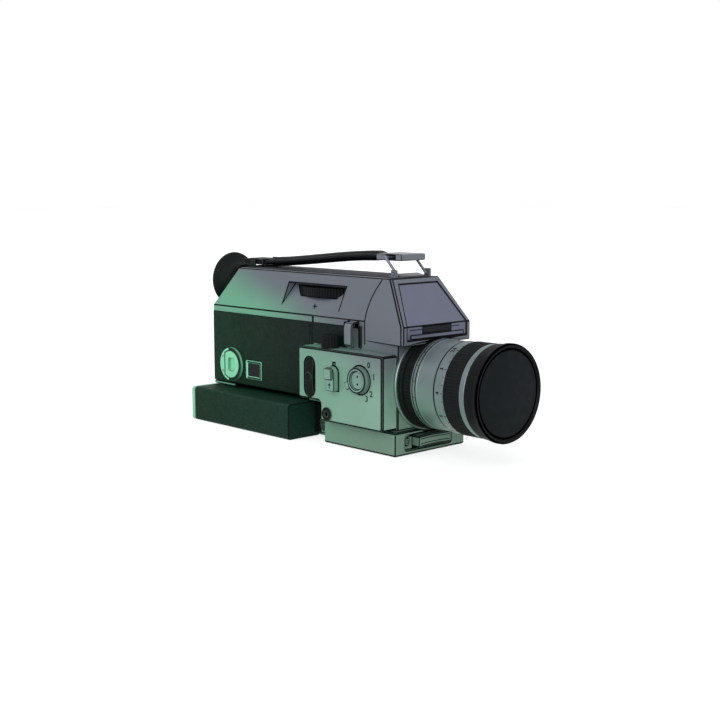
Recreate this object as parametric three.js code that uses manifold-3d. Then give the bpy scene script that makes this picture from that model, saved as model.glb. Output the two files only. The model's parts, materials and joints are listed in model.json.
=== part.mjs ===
// A hand-held cine camera with a zoom lens, a folding grip, a film door and a carrying strap.
// Millimetres. +X runs forward along the lens, +Y to the far side, +Z up.
// The origin lies on the base's underside, below the lens axis.
import * as THREE from "three";
import { ConvexGeometry } from "three/addons/geometries/ConvexGeometry.js";
import { mergeVertices } from "three/addons/utils/BufferGeometryUtils.js";
import Module from "manifold-3d";

const wasm = await Module();
wasm.setup();

// Clearances that every piece shares
const seatGap = 0.15;
const runGap = 0.3;
const overrun = 4;
const mergeDistance = 0.0001;

// Smoothness of round forms
const ringSteps = 40;
const midSteps = 24;
const smallSteps = 16;
const wireSteps = 8;
const cornerSteps = 3;
const curveSteps = 12;
const creaseSteps = 5;

// Grip, as far as the body is built round it
const gripHeight = 23.8;
const nestRoom = 0.6;
const nestHeight = gripHeight + nestRoom;

// Body shell, across and along
const bodyHalf = 25.9;
const roofLean = 5.8;
const roofHalf = bodyHalf - roofLean;
const rearReach = 177.5;
const roofRearInset = 23;
const boxFace = 10;
const facetReach = 19.8;
const facetTopReach = 9.4;
const facetBow = 2.6;

// Base
const baseTall = 15.5;
const baseProud = 3.3;
const baseFace = boxFace + baseProud;
const baseOverhang = 5.7;
const baseHalf = bodyHalf + baseOverhang;
const baseStep = 52.5;
const baseTallLong = 21.1;
const baseTallRear = baseStep + baseTallLong;
const baseFloor = 6;
const baseRearInset = 1.5;
const baseBevel = 0.8;

// Nest for the folded grip in the body's lower side
const nestInset = 9.4;
const nestHalf = bodyHalf - nestInset;

// Lens radii that set the heights of what stands round the lens
const flangeRadius = 30.2;
const flangeSink = 1.9;
const axisHeight = baseTall + flangeRadius - flangeSink;
const zoomRadius = 27.3;
const zoomSink = 2.3;

// Head and front plate
const headOverhang = 8.6;
const headFace = boxFace + headOverhang;
const headRake = 19;
const headFlare = 0.6;
const headTopHalf = roofHalf + headFlare;
const headSpread = 4.2;
const headHalf = bodyHalf + headSpread;
const headUnderside = axisHeight + zoomRadius - zoomSink;
const cheekTall = 11.8;
const bendHeight = headUnderside + cheekTall;
const rakeTall = 27.9;
const roofHeight = bendHeight + rakeTall;
const shoulderStep = 0.7;
const shoulderHeight = bendHeight + shoulderStep;
const plateThick = 2.4;
const bezelWidth = 3.3;
const panelSink = 0.6;

// Pieces on the front plate
const finderInset = 17.5;
const finderHalf = headHalf - finderInset;
const finderHeight = 3.6;
const finderDrop = 2.6;
const finderMiddle = bendHeight - finderDrop;
const finderThick = 1;
const labelInset = 5.9;
const labelHalf = headHalf - labelInset;
const labelRise = 0.5;
const labelLow = headUnderside + bezelWidth + labelRise;
const labelTall = 3;
const labelThick = 0.5;

// Control housing on the operator's side
const controlRear = 68.3;
const controlProud = 13.7;
const controlFace = bodyHalf + controlProud;
const controlLift = 0.5;
const controlLow = baseTall + controlLift;
const controlDrop = 5.8;
const controlHigh = headUnderside - controlDrop;
const notchLong = 21.3;
const notchFront = controlRear - notchLong;
const notchRise = 4.4;
const notchHigh = nestHeight + notchRise;
const controlCorner = 2.4;
const controlBevel = 0.9;

// Lens, from the body forwards
const flangeThick = 1.85;
const flangeEnd = boxFace + flangeThick;
const tubeRadius = 23.2;
const tubeWall = 2.2;
const spigotRadius = 20;
const spigotDepth = 12;
const skirtRadius = 29.2;
const skirtLong = 3.3;
const zoomLong = 10.1;
const zoomEnd = flangeEnd + runGap + zoomLong;
const indexRadius = 28.3;
const indexLong = 5.3;
const indexEnd = zoomEnd + runGap + indexLong;
const indexGroove = 0.5;
const barrelRadius = 28.1;
const barrelLong = 14;
const barrelEnd = indexEnd + barrelLong;
const scaleRadius = 28.4;
const scaleLong = 7.1;
const scaleEnd = barrelEnd + runGap + scaleLong;
const focusRadius = 28.8;
const focusLong = 12.2;
const focusEnd = scaleEnd + seatGap + focusLong;
const frontRadius = 28.4;
const frontLong = 4.1;
const frontEnd = focusEnd + seatGap + frontLong;
const filterRadius = 27.4;
const filterLong = 7.2;
const filterEnd = frontEnd + filterLong;
const capRadius = 30;
const capSkirtWall = 1.3;
const capLip = 0.35;
const capStart = frontEnd + capLip;
const capLong = 10.6;
const capEnd = capStart + capLong;
const capRimLong = 3.4;
const capDish = 1;
const capRim = 2.2;
const capWall = 1.2;
const ribDepth = 0.55;
const ribCrestShare = 0.5;
const ribValleyShares = [0.62, 0.88];
const zoomRibs = 36;
const focusRibs = 40;
const glassRadius = 21;
const glassSet = 0.4;
const glassRear = focusEnd + glassSet;
const glassThick = 7;
const glassCrown = 2.5;
const glassSteps = 5;
const retainerWall = 2.4;
const retainerDeep = 3;

// Film chamber and what works in it
const chamberRearWall = 24.5;
const chamberRear = rearReach - chamberRearWall;
const chamberFront = 73.5;
const chamberFloor = 3;
const chamberLow = baseFloor + chamberFloor;
const chamberRoof = 1.3;
const chamberHigh = shoulderHeight - chamberRoof;
const chamberFarWall = 13.4;
const chamberDeep = bodyHalf - chamberFarWall;
const doorRise = 2.6;
const doorLow = nestHeight + doorRise;
const doorThick = 2.4;
const doorHingeAhead = 3.3;
const doorHingeReach = chamberFront - doorHingeAhead;
const sillGap = 0.3;
const hingePinRadius = 0.55;
const hingePinFit = 0.2;
const hingePinGrip = 2.2;
const ribRise = 3.3;
const ribTall = 2.4;
const ribLow = 18;
const ribHigh = 66;
const ribInset = 5;
const spindleShift = 0.25;
const spindleReach = (chamberRear + chamberFront) / 2 - spindleShift;
const spindleHeight = (chamberLow + chamberHigh) / 2;
const spindleRadius = 3;
const spindleTip = 2.1;
const spindleFlats = 6;
const spindleRise = 3;
const spindleDeep = 6;
const spindleFlange = 5;
const spindleFlangeThick = 0.8;
const gateThick = 1.4;
const gateDrop = 16.5;
const gateTall = 32;
const gateLow = spindleHeight - gateDrop;
const gateHigh = gateLow + gateTall;
const gateHalf = 8.6;
const gateRoom = 0.4;
const gateMiddle = chamberDeep - gateRoom - gateHalf;
const apertureWide = 5.8;
const apertureTall = 4.2;
const clawWide = 1.4;
const clawTall = 8;
const clawOffset = 5.2;
const leafThick = 0.6;
const leafTall = 22;
const leafBow = 1.4;
const leafHalf = 5;
const leafMiddle = 2;

// Film door trim
const rimWidth = 4.1;
const leatherThick = 0.65;
const leatherStart = 1.5;
const leatherEdge = 0.5;
const latchInset = 22;
const latchReach = rearReach - latchInset;
const latchRise = 13.3;
const latchHeight = doorLow + latchRise;
const latchRadius = 12;
const latchThick = 2.2;
const latchHub = 5;
const latchPocket = 10;
const latchPocketDeep = 6.5;
const camRadius = 8;
const camHalf = 3.2;
const camThick = 1.8;
const handleRadius = 9.6;
const handleThick = 1.2;
const handleFlat = 5.6;
const handlePin = 0.3;
const handlePinFit = 0.12;
const handlePinHalf = 9.6;
const handleHole = 4.6;
const handleGap = 0.4;
const windowSpacing = 25;
const windowReach = latchReach - windowSpacing;
const windowDrop = 1.8;
const windowMiddle = latchHeight - windowDrop;
const windowWide = 17;
const windowTall = 13;
const windowBorder = 1.9;
const windowThick = 1.3;
const windowGlassThick = 0.7;
const windowCutInset = 1.2;

// Rocker for the zoom motor
const rockerInset = 11.3;
const rockerReach = controlRear - rockerInset;
const rockerDrop = 2.2;
const rockerMiddle = (controlHigh + notchHigh) / 2 - rockerDrop;
const slotHalfWide = 5.2;
const slotInset = 4.2;
const slotHalfTall = (controlHigh - notchHigh) / 2 - slotInset;
const slotDeep = 7;
const linerWall = 1.1;
const linerFloor = 1;
const rockerGap = 0.5;
const rockerProud = 1;
const rockerBack = 2.4;
const rockerCrown = 1.6;
const rockerButton = 2.9;
const rockerButtonProud = 0.6;
const rockerPin = 0.7;
const rockerPivotIn = 2;

// Sliding lever
const leverSpacing = 23.5;
const leverReach = rockerReach - leverSpacing;
const leverDrop = 25.6;
const leverLow = controlHigh - leverDrop;
const leverTall = 15.6;
const leverHalf = 4.4;
const leverStemHalf = 3.2;
const leverThick = 4.2;
const leverPadThick = 1.3;
const leverPadTall = 7;
const leverTongue = 1.6;
const leverTongueDeep = 3;
const leverTravel = 3;
const leverCorner = 1.2;

// Dial
const dialSpacing = 23.9;
const dialReach = leverReach - dialSpacing;
const dialDrop = 16.4;
const dialHeight = controlHigh - dialDrop;
const dialRadius = 8.3;
const dialInner = 5.6;
const dialThick = 3.3;
const dialLip = 1.3;
const dialTab = 2.9;
const dialTabHalf = 2.4;
const dialTabTurn = 205;
const dialTipShare = 0.8;
const dialSpigot = 4.2;
const dialSpigotDeep = 4;
const hubPinRadius = 0.55;
const hubPinSpacing = 2.4;
const hubPinDeep = 0.7;

// Ribbed knob on the control housing's top
const knobSpacing = 24.2;
const knobReach = facetReach + knobSpacing;
const knobInset = 6.4;
const knobOut = controlFace - knobInset;
const knobRadius = 5.9;
const knobTall = 8;
const knobRibs = 16;
const knobRibDepth = 0.6;
const knobShaft = 2;
const knobShaftDeep = 5;

// Clip lever beside the knob
const clipSpacing = 10.4;
const clipReach = facetReach + clipSpacing;
const clipHalf = 3.4;
const clipPivotProud = 2.3;
const clipPivotOut = bodyHalf + clipPivotProud;
const clipBarrel = 1.5;
const clipPin = 0.7;
const clipEar = 1.3;
const clipEarHalf = 1.9;
const clipRise = 1.3;
const clipFoot = controlHigh + clipRise;
const clipTall = 14.3;
const clipPivotHeight = clipFoot + clipTall;
const clipProud = 5.3;
const clipOut = bodyHalf + clipProud;
const clipSheet = 1.6;
const inlaySpacing = 3.7;
const inlayReach = facetReach + inlaySpacing;
const inlayHalf = 1.2;
const inlayRise = 1;
const inlayLow = controlHigh + inlayRise;
const inlayTall = 14;
const inlayHigh = inlayLow + inlayTall;
const inlayThick = 0.9;

// Jack socket low on the control housing
const socketInset = 6.8;
const socketReach = notchFront - socketInset;
const socketRise = 5.4;
const socketHeight = controlLow + socketRise;
const socketRadius = 4.4;
const socketBore = 1.75;
const socketProud = 0.9;
const socketDeep = 8;
const socketBossRadius = 3.2;

// Thumbwheel in the roof slope
const wheelReach = 69.5;
const wheelRadius = 40;
const wheelInset = 1.9;
const wheelOut = wheelRadius + wheelInset - bodyHalf;
const scoopRise = 4.2;
const scoopLow = shoulderHeight + scoopRise;
const scoopTall = 16;
const scoopHigh = scoopLow + scoopTall;
const wheelRise = 7.9;
const wheelLow = scoopLow + wheelRise;
const wheelTall = 5.8;
const wheelRibDepth = 0.8;
const wheelRibs = 26;
const wheelCrestShares = [0.2, 0.8];
const wheelHalfTurn = 42;
const wheelSwing = 12;
const wheelSpare = 2;
const wheelHub = 3.6;
const wheelPin = 1.6;
const wheelPinRise = 2;
const wheelSlotWall = 4.5;
const scoopDeep = 6.6;
const scoopHalf = 28.5;
const scoopRear = wheelReach + scoopHalf;
const scoopFront = wheelReach - scoopHalf;
const scoopFlare = 4;

// Eyepiece
const eyeDrop = 10.5;
const eyeHeight = roofHeight - eyeDrop;
const eyeTubeRadius = 9.2;
const eyeTubeWall = 1.8;
const diopterRadius = 11.4;
const diopterGap = 0.38;
const diopterStart = rearReachAt(eyeHeight - diopterRadius) + diopterGap;
const diopterLong = 3.6;
const diopterEnd = diopterStart + diopterLong;
const eyeTubeProud = 3.5;
const eyeTubeEnd = diopterEnd + eyeTubeProud;
const eyeTubeLong = 30.5;
const eyeTubeStart = eyeTubeEnd - eyeTubeLong;
const eyeGlassThick = 2;
const eyeGlassInset = 3.5;
const eyeGlassReach = eyeTubeEnd - eyeGlassInset;
const diopterRibs = 24;
const diopterRibDepth = 0.4;
const cupGap = 0.4;
const cupStart = diopterEnd + cupGap;
const cupLong = 9.6;
const cupEnd = cupStart + cupLong;
const cupRadius = 19.6;
const cupWall = 1.5;
const cupNeck = 11;
const cupWaist = 12.6;

// Roof strip, strap and its fittings
const stripInset = 6.2;
const stripHalf = roofHalf - stripInset;
const stripRearInset = 24.5;
const stripRear = rearReach - stripRearInset;
const stripFront = 10.4;
const stripDeep = 0.8;
const stripProud = 0.4;
const bailReach = 4.6;
const bailPivotRise = 2.7;
const bailPivotHeight = roofHeight + bailPivotRise;
const bailLength = 14;
const bailLean = 45;
const bailWire = 0.9;
const bailHalf = 13;
const bailStub = 3.2;
const bailEarHalf = 2.4;
const bailEarThick = 1.6;
const bailPlateThick = 0.8;
const bailWedge = 2.2;
const bailWedgeHalf = 11.2;
const frontClipRear = 25;
const frontClipFront = 2.4;
const frontClipHalf = 10.8;
const frontClipSheet = 0.75;
const frontClipSlot = 0.5;
const bailSlotRun = 5.2;
const strapHalf = 7.75;
const strapThick = 2.8;
const strapGrip = 4.5;
const strapRise = 1.6;
const strapRearShare = 0.7;
const strapFrontShare = 0.45;
const rearPivotInset = 2;
const rearPivotReach = stripRear - rearPivotInset;
const rearPivotRise = 4.1;
const rearPivotHeight = roofHeight + rearPivotRise;
const rearClipAhead = 9;
const rearClipFront = rearPivotReach - rearClipAhead;
const rearClipBehind = 12;
const rearClipRear = rearPivotReach + rearClipBehind;
const rearClipHalf = 9;
const rearClipThick = 3.6;
const rearPin = 1.1;
const rearEarThick = 1.5;
const rearEarHalf = 2.6;
const rearLoopWall = 2.6;
const rearLoopLong = 7;

// Trigger and cable socket in the base's front
const recessNear = 23;
const recessFar = 19;
const recessLow = 2.8;
const recessTall = 9.8;
const recessHigh = recessLow + recessTall;
const recessDeep = 3;
const recessCorner = 1.6;
const triggerNearInset = 9.6;
const triggerNear = recessNear - triggerNearInset;
const triggerFarInset = 3;
const triggerFar = recessFar - triggerFarInset;
const triggerInset = 1.1;
const triggerLow = recessLow + triggerInset;
const triggerHigh = recessHigh - triggerInset;
const triggerProud = 3;
const triggerSaddle = 1.7;
const triggerDeep = 9;
const triggerTravel = 2.5;
const cableInset = 4.6;
const cableOut = recessNear - cableInset;
const cableHeight = (recessLow + recessHigh) / 2;
const cableRadius = 2.2;
const cableBore = 1.2;
const cableDeep = 6;
const cableProud = 0.8;

// Tripod bush and base screws
const bushReach = 26;
const bushRadius = 5.4;
const bushBore = 3.1;
const bushTall = 9;
const bushRoof = 1.2;
const bushSink = 0.3;
const screwHead = 2.6;
const screwShank = 1.3;
const screwHeadTall = 1.4;
const screwLong = 5.2;
const screwSink = 0.3;
const screwSlotWide = 0.6;
const screwSlotDeep = 0.6;
const screwFrontReach = 2;
const screwRearInset = 9.5;
const screwRearReach = rearReach - screwRearInset;
const screwOut = 24;
const screwFarOut = 18;

// Folding grip
const gripRearInset = 2.5;
const gripRear = rearReach - gripRearInset;
const gripBehind = 19.8;
const gripFront = baseStep + gripBehind;
const gripRoom = 0.5;
const gripIn = nestHalf + gripRoom;
const gripWide = 28;
const gripOut = gripIn + gripWide;
const gripCorner = 2.2;
const gripCapThick = 3.8;
const gripPivotBehind = 7.8;
const gripPivotReach = baseStep + gripPivotBehind;
const gripPivotHeight = 10;
const gripTongueRadius = 7;
const gripTongueThick = 4.3;
const gripKnuckleLong = 5.6;
const gripKnuckleWide = 5;
const gripKnuckleLow = 3;
const gripKnuckleHigh = 22;
const gripBoltRadius = 3;
const gripBoltFit = 0.3;
const gripBoltHead = 5.2;
const gripBoltHeadThick = 2;
const gripBoltGrip = 9;
const cellCount = 2;
const cellRadius = 7.25;
const cellNub = 2.7;
const cellNubRise = 0.9;
const cellFit = 0.3;
const cellWall = 3;
const capHollow = 2.1;
const cellRest = 0.5;
const cellBay = gripRear + capHollow - cellRest - gripFront - cellWall;
const cellLength = cellBay / cellCount - seatGap;

// Leather on the far side
const farLeatherLow = doorLow;
const farLeatherFront = 24;

// Position-only geometry as a solid, facing out whichever way its outline ran
function solid(geometry) {
  const bare = geometry.index ? geometry.toNonIndexed() : geometry.clone();
  bare.deleteAttribute("normal");
  bare.deleteAttribute("uv");
  const merged = mergeVertices(bare, mergeDistance);
  const corners = merged.index.array;
  const kept = [];
  for (let i = 0; i < corners.length; i += 3) {
    const [a, b, c] = [corners[i], corners[i + 1], corners[i + 2]];
    if (a !== b && b !== c && c !== a) kept.push([a, b, c]);
  }
  const build = (triangles) =>
    new wasm.Manifold(
      new wasm.Mesh({
        numProp: 3,
        vertProperties: merged.attributes.position.array,
        triVerts: new Uint32Array(triangles.flat()),
      }),
    );
  const made = build(kept);
  if (made.volume() >= 0) return made;
  return build(kept.map(([a, b, c]) => [a, c, b]));
}

// Join several solids
function fuse(first, ...rest) {
  return rest.reduce((whole, next) => whole.add(next), first);
}

// Cut several solids out of one
function cut(first, ...tools) {
  return tools.reduce((whole, tool) => whole.subtract(tool), first);
}

// A box between two corners
function block(x0, x1, y0, y1, z0, z1) {
  const box = new THREE.BoxGeometry(x1 - x0, y1 - y0, z1 - z0);
  return solid(box.translate((x0 + x1) / 2, (y0 + y1) / 2, (z0 + z1) / 2));
}

// A round bar along one axis, from one place on it to another
function rod(axis, a, b, from, to, radius, steps = smallSteps) {
  const bar = new THREE.CylinderGeometry(radius, radius, to - from, steps);
  const middle = (from + to) / 2;
  if (axis === "x") return solid(bar.rotateZ(-Math.PI / 2).translate(middle, a, b));
  if (axis === "y") return solid(bar.translate(a, middle, b));
  return solid(bar.rotateX(Math.PI / 2).translate(a, b, middle));
}

// The convex solid over some points
function hull(points) {
  return solid(new ConvexGeometry(points.map((p) => new THREE.Vector3(...p))));
}

// An outline of [u, v] points as a shape
function outline(points) {
  return new THREE.Shape(points.map(([u, v]) => new THREE.Vector2(u, v)));
}

// A rectangle with round corners
function roundedBox(u0, u1, v0, v1, radius) {
  const shape = new THREE.Shape();
  shape.moveTo(u0 + radius, v0);
  shape.lineTo(u1 - radius, v0);
  shape.absarc(u1 - radius, v0 + radius, radius, -Math.PI / 2, 0);
  shape.lineTo(u1, v1 - radius);
  shape.absarc(u1 - radius, v1 - radius, radius, 0, Math.PI / 2);
  shape.lineTo(u0 + radius, v1);
  shape.absarc(u0 + radius, v1 - radius, radius, Math.PI / 2, Math.PI);
  shape.lineTo(u0, v0 + radius);
  shape.absarc(u0 + radius, v0 + radius, radius, Math.PI, Math.PI * 1.5);
  return shape;
}

// An outline with its corners rounded by one radius
function softOutline(points, radius) {
  const shape = new THREE.Shape();
  const corners = points.map(([u, v]) => new THREE.Vector2(u, v));
  corners.forEach((corner, i) => {
    const before = corners[(i + corners.length - 1) % corners.length];
    const after = corners[(i + 1) % corners.length];
    const inward = before.clone().sub(corner).setLength(radius).add(corner);
    const outward = after.clone().sub(corner).setLength(radius).add(corner);
    if (i === 0) shape.moveTo(inward.x, inward.y);
    else shape.lineTo(inward.x, inward.y);
    shape.quadraticCurveTo(corner.x, corner.y, outward.x, outward.y);
  });
  shape.closePath();
  return shape;
}

// A shape swept along an axis between two places, its edges eased by a bevel
function sweep(axis, shape, from, to, bevel = 0, steps = cornerSteps) {
  const geometry = new THREE.ExtrudeGeometry(shape, {
    depth: to - from - 2 * bevel,
    steps: 1,
    curveSegments: steps,
    bevelEnabled: bevel > 0,
    bevelThickness: bevel,
    bevelSize: bevel,
    bevelOffset: -bevel,
    bevelSegments: 1,
  });
  geometry.translate(0, 0, bevel);
  if (axis === "z") return solid(geometry.translate(0, 0, from));
  if (axis === "y") return solid(geometry.rotateX(Math.PI / 2).translate(0, to, 0));
  const turn = new THREE.Matrix4().makeBasis(
    new THREE.Vector3(0, 1, 0),
    new THREE.Vector3(0, 0, 1),
    new THREE.Vector3(1, 0, 0),
  );
  return solid(geometry.applyMatrix4(turn).translate(from, 0, 0));
}

// A turned piece about a line along X: its profile is [place along X, radius] points
function turned(profile, height, steps = ringSteps) {
  const points = profile.map(([x, radius]) => new THREE.Vector2(radius, x));
  const geometry = new THREE.LatheGeometry(points, steps);
  return solid(geometry.rotateZ(-Math.PI / 2).translate(0, 0, height));
}

// A plain sleeve about a line along X
function sleeve(x0, x1, inner, outer, height, steps = ringSteps) {
  const profile = [
    [x0, inner],
    [x1, inner],
    [x1, outer],
    [x0, outer],
    [x0, inner],
  ];
  return turned(profile, height, steps);
}

// A round outline whose radius dips between ribs
function ribbedOutline(u, v, radius, depth, ribs) {
  const points = [];
  const crest = [0, ribCrestShare].map((share) => [share, radius]);
  const valley = ribValleyShares.map((share) => [share, radius - depth]);
  for (let i = 0; i < ribs; i += 1) {
    for (const [share, reach] of [...crest, ...valley]) {
      const turn = ((i + share) / ribs) * 2 * Math.PI;
      points.push([u + reach * Math.cos(turn), v + reach * Math.sin(turn)]);
    }
  }
  return outline(points);
}

// A round hole in an outline
function hole(shape, u, v, radius) {
  const path = new THREE.Path();
  path.absarc(u, v, radius, 0, Math.PI * 2, true);
  shape.holes.push(path);
  return shape;
}

// How far back the slanted rear stands at a height
function rearReachAt(height) {
  const share = (height - shoulderHeight) / (roofHeight - shoulderHeight);
  return rearReach - roofRearInset * share;
}

// How far the roof slope stands out at a height
function slopeOut(height) {
  const share = (height - shoulderHeight) / (roofHeight - shoulderHeight);
  return bodyHalf - (bodyHalf - roofHalf) * share;
}

// Front outline of the head, seen from the front, drawn in by a margin
function headOutline(margin) {
  const bottom = headUnderside + margin;
  const top = roofHeight - margin;
  return outline([
    [-headHalf + margin, bottom],
    [headHalf - margin, bottom],
    [headHalf - margin, bendHeight],
    [headTopHalf - margin, top],
    [-headTopHalf + margin, top],
    [-headHalf + margin, bendHeight],
  ]);
}

// Everything in front of the head's face, moved back by a depth
function frontSpace(depth) {
  const top = headFace - headRake - depth;
  const low = headFace - depth;
  const slant = headRake / (roofHeight - bendHeight);
  const far = headFace + overrun;
  const profile = [
    [low, headUnderside - overrun],
    [far, headUnderside - overrun],
    [far, roofHeight + overrun],
    [top - slant * overrun, roofHeight + overrun],
    [low, bendHeight],
  ];
  return sweep("y", outline(profile), -headHalf - overrun, headHalf + overrun);
}

// The bowed crease where the head's cheek meets the roof slope, as [reach, height] points
function facetCrease() {
  const crease = [];
  for (let i = 1; i < creaseSteps; i += 1) {
    const share = i / creaseSteps;
    const straight = facetReach + (facetTopReach - facetReach) * share;
    crease.push([
      straight + facetBow * 4 * share * (1 - share),
      shoulderHeight + (roofHeight - shoulderHeight) * share,
    ]);
  }
  return crease;
}

// The head as one block, out to its front face
function headBlock() {
  const points = [];
  for (const side of [-1, 1]) {
    points.push([-facetTopReach, side * roofHalf, roofHeight]);
    for (const [reach, height] of facetCrease()) {
      points.push([-reach, side * slopeOut(height), height]);
    }
    points.push([headFace - headRake, side * headTopHalf, roofHeight]);
    points.push([-facetReach, side * bodyHalf, shoulderHeight]);
    points.push([-facetReach, side * bodyHalf, headUnderside]);
    points.push([headFace, side * headHalf, bendHeight]);
    points.push([headFace, side * headHalf, headUnderside]);
  }
  return hull(points);
}

// Room for the lens flange and zoom ring below the head
function lensRoom() {
  const front = headFace - plateThick;
  return fuse(
    rod("x", 0, axisHeight, boxFace, front, flangeRadius + runGap, ringSteps),
    rod("x", 0, axisHeight, boxFace, headFace + overrun, zoomRadius + runGap, ringSteps),
  );
}

// The casting before anything is cut: rear block, lens box and head
function housingMass() {
  const points = [];
  for (const side of [-1, 1]) {
    points.push([-rearReach + roofRearInset, side * roofHalf, roofHeight]);
    points.push([-facetTopReach, side * roofHalf, roofHeight]);
    points.push([-rearReach, side * bodyHalf, shoulderHeight]);
    points.push([-facetReach, side * bodyHalf, shoulderHeight]);
    points.push([-rearReach, side * bodyHalf, baseFloor + seatGap]);
    points.push([-facetReach, side * bodyHalf, baseFloor + seatGap]);
  }
  const low = baseTall + seatGap;
  const lensBox = block(-baseTallRear, boxFace, -bodyHalf, bodyHalf, low, headUnderside + overrun);
  const aboveBase = block(
    -baseTallRear - seatGap,
    boxFace + overrun,
    -bodyHalf - overrun,
    bodyHalf + overrun,
    -overrun,
    low,
  );
  const head = cut(headBlock(), frontSpace(plateThick + seatGap), lensRoom());
  return fuse(cut(hull(points), aboveBase), lensBox, head);
}

// The hollow that takes the film cartridge, with its two locating ribs left standing
function chamberSpace() {
  const space = block(
    -chamberRear,
    -chamberFront,
    -bodyHalf - overrun,
    chamberDeep,
    chamberLow,
    chamberHigh,
  );
  const ribs = [ribLow, ribHigh].map((low) =>
    block(
      -chamberRear + ribInset,
      -chamberFront - ribInset,
      chamberDeep - ribRise,
      chamberDeep + overrun,
      low,
      low + ribTall,
    ),
  );
  return cut(space, ...ribs);
}

// The step in the side that the film door closes
function doorSpace() {
  return block(
    -rearReach - overrun,
    -doorHingeReach + doorThick / 2 + runGap / 2,
    -bodyHalf - overrun,
    -bodyHalf + doorThick + runGap,
    doorLow - sillGap,
    shoulderHeight - seatGap,
  );
}

// The nest that the folded grip lies in
function nestSpace() {
  return block(
    -rearReach - overrun,
    -baseStep,
    -bodyHalf - overrun,
    -nestHalf,
    -overrun,
    nestHeight,
  );
}

// The thumb scoop in the roof slope
function scoopSpace() {
  const profile = [
    [-bodyHalf - overrun, scoopLow],
    [-slopeOut(scoopLow), scoopLow],
    [-slopeOut(scoopHigh) + scoopDeep, scoopHigh],
    [-bodyHalf - overrun, scoopHigh],
  ];
  const scoop = sweep("x", outline(profile), -scoopRear - scoopFlare, -scoopFront + scoopFlare);
  const cheeks = outline([
    [-scoopRear - scoopFlare, scoopLow],
    [-scoopFront - scoopFlare, scoopLow],
    [-scoopFront, scoopHigh],
    [-scoopRear, scoopHigh],
  ]);
  return scoop.intersect(sweep("y", cheeks, -bodyHalf - overrun, 0));
}

// The slot that the thumbwheel swings in, with its pivot bores
function wheelSpace() {
  const low = wheelLow - runGap;
  const high = wheelLow + wheelTall + runGap;
  const reach = wheelRadius + runGap;
  const half = reach * Math.sin(THREE.MathUtils.degToRad(wheelHalfTurn + wheelSwing + wheelSpare));
  const far = wheelOut + wheelSlotWall;
  const room = block(-wheelReach - half, -wheelReach + half, -bodyHalf, far, low, high);
  const disc = rod("z", -wheelReach, wheelOut, low, high, reach, ringSteps * 2);
  const deep = wheelPinRise + runGap;
  const bores = rod("z", -wheelReach, wheelOut, low - deep, high + deep, wheelPin + runGap / 2);
  return fuse(disc.intersect(room), bores);
}

// Ears that carry the clip lever
function clipEars() {
  const inner = clipHalf + runGap;
  return [-1, 1].map((side) => {
    const near = -clipReach + side * inner;
    const away = -clipReach + side * (inner + clipEar);
    return block(
      Math.min(near, away),
      Math.max(near, away),
      -clipPivotOut - clipEarHalf,
      -bodyHalf + clipSheet,
      clipPivotHeight - clipEarHalf,
      clipPivotHeight + clipEarHalf,
    );
  });
}

// Main casting of the body
function housing() {
  const roofGroove = block(
    -stripRear - seatGap,
    -stripFront + seatGap,
    -stripHalf - seatGap,
    stripHalf + seatGap,
    roofHeight - stripDeep - seatGap,
    roofHeight + overrun,
  );
  const lensBore = rod(
    "x",
    0,
    axisHeight,
    boxFace - spigotDepth - runGap,
    boxFace + overrun,
    spigotRadius + seatGap,
    ringSteps,
  );
  const eyeBore = rod(
    "x",
    0,
    eyeHeight,
    -rearReach - overrun,
    -eyeTubeStart + seatGap,
    eyeTubeRadius + seatGap,
    ringSteps,
  );
  const spindleBore = rod(
    "y",
    -spindleReach,
    spindleHeight,
    chamberDeep - overrun,
    chamberDeep + spindleDeep + runGap,
    spindleRadius + runGap / 2,
  );
  const latchSpace = rod(
    "y",
    -latchReach,
    latchHeight,
    -bodyHalf - overrun,
    -bodyHalf + doorThick + latchPocketDeep,
    latchPocket,
    ringSteps,
  );
  const pinBore = rod(
    "z",
    -doorHingeReach,
    -bodyHalf + doorThick / 2,
    doorLow - sillGap - hingePinGrip,
    shoulderHeight + hingePinGrip,
    hingePinRadius + seatGap / 2,
  );
  const earBore = rod(
    "x",
    -clipPivotOut,
    clipPivotHeight,
    -clipReach - clipHalf - clipEar - overrun,
    -clipReach + clipHalf + clipEar + overrun,
    clipPin + hingePinFit,
  );
  const cartridge = chamberSpace();
  const body = cut(
    housingMass(),
    cartridge,
    doorSpace(),
    nestSpace(),
    scoopSpace(),
    wheelSpace(),
    roofGroove,
    lensBore,
    eyeBore,
    spindleBore,
    latchSpace,
    pinBore,
  );
  return cut(fuse(body, ...clipEars()), earBore);
}

// Light frame round the front plate
function frontBezel() {
  const plate = headBlock().intersect(frontSpace(plateThick));
  const opening = sweep("x", headOutline(bezelWidth), -headFace - headRake, headFace + overrun);
  return cut(plate, opening, lensRoom());
}

// Inset panel of the front plate, with the finder window's seat
function frontPanel() {
  const sunk = frontSpace(panelSink);
  const field = sweep(
    "x",
    headOutline(bezelWidth + seatGap),
    -headFace - headRake,
    headFace + overrun,
  );
  const plate = headBlock().intersect(frontSpace(plateThick)).intersect(field);
  const seat = block(
    headFace - panelSink - finderThick,
    headFace + overrun,
    -finderHalf - seatGap,
    finderHalf + seatGap,
    finderMiddle - finderHeight / 2 - seatGap,
    finderMiddle + finderHeight / 2 + seatGap,
  );
  return cut(plate, sunk, seat);
}

// Dark finder window
function finderWindow() {
  const low = finderMiddle - finderHeight / 2;
  return block(
    headFace - panelSink - finderThick + seatGap,
    headFace - panelSink + seatGap,
    -finderHalf,
    finderHalf,
    low,
    low + finderHeight,
  );
}

// Bare strip below the window
function labelStrip() {
  const back = headFace - panelSink + seatGap;
  const shape = roundedBox(-labelHalf, labelHalf, labelLow, labelLow + labelTall, labelThick);
  return sweep("x", shape, back, back + labelThick);
}

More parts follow.
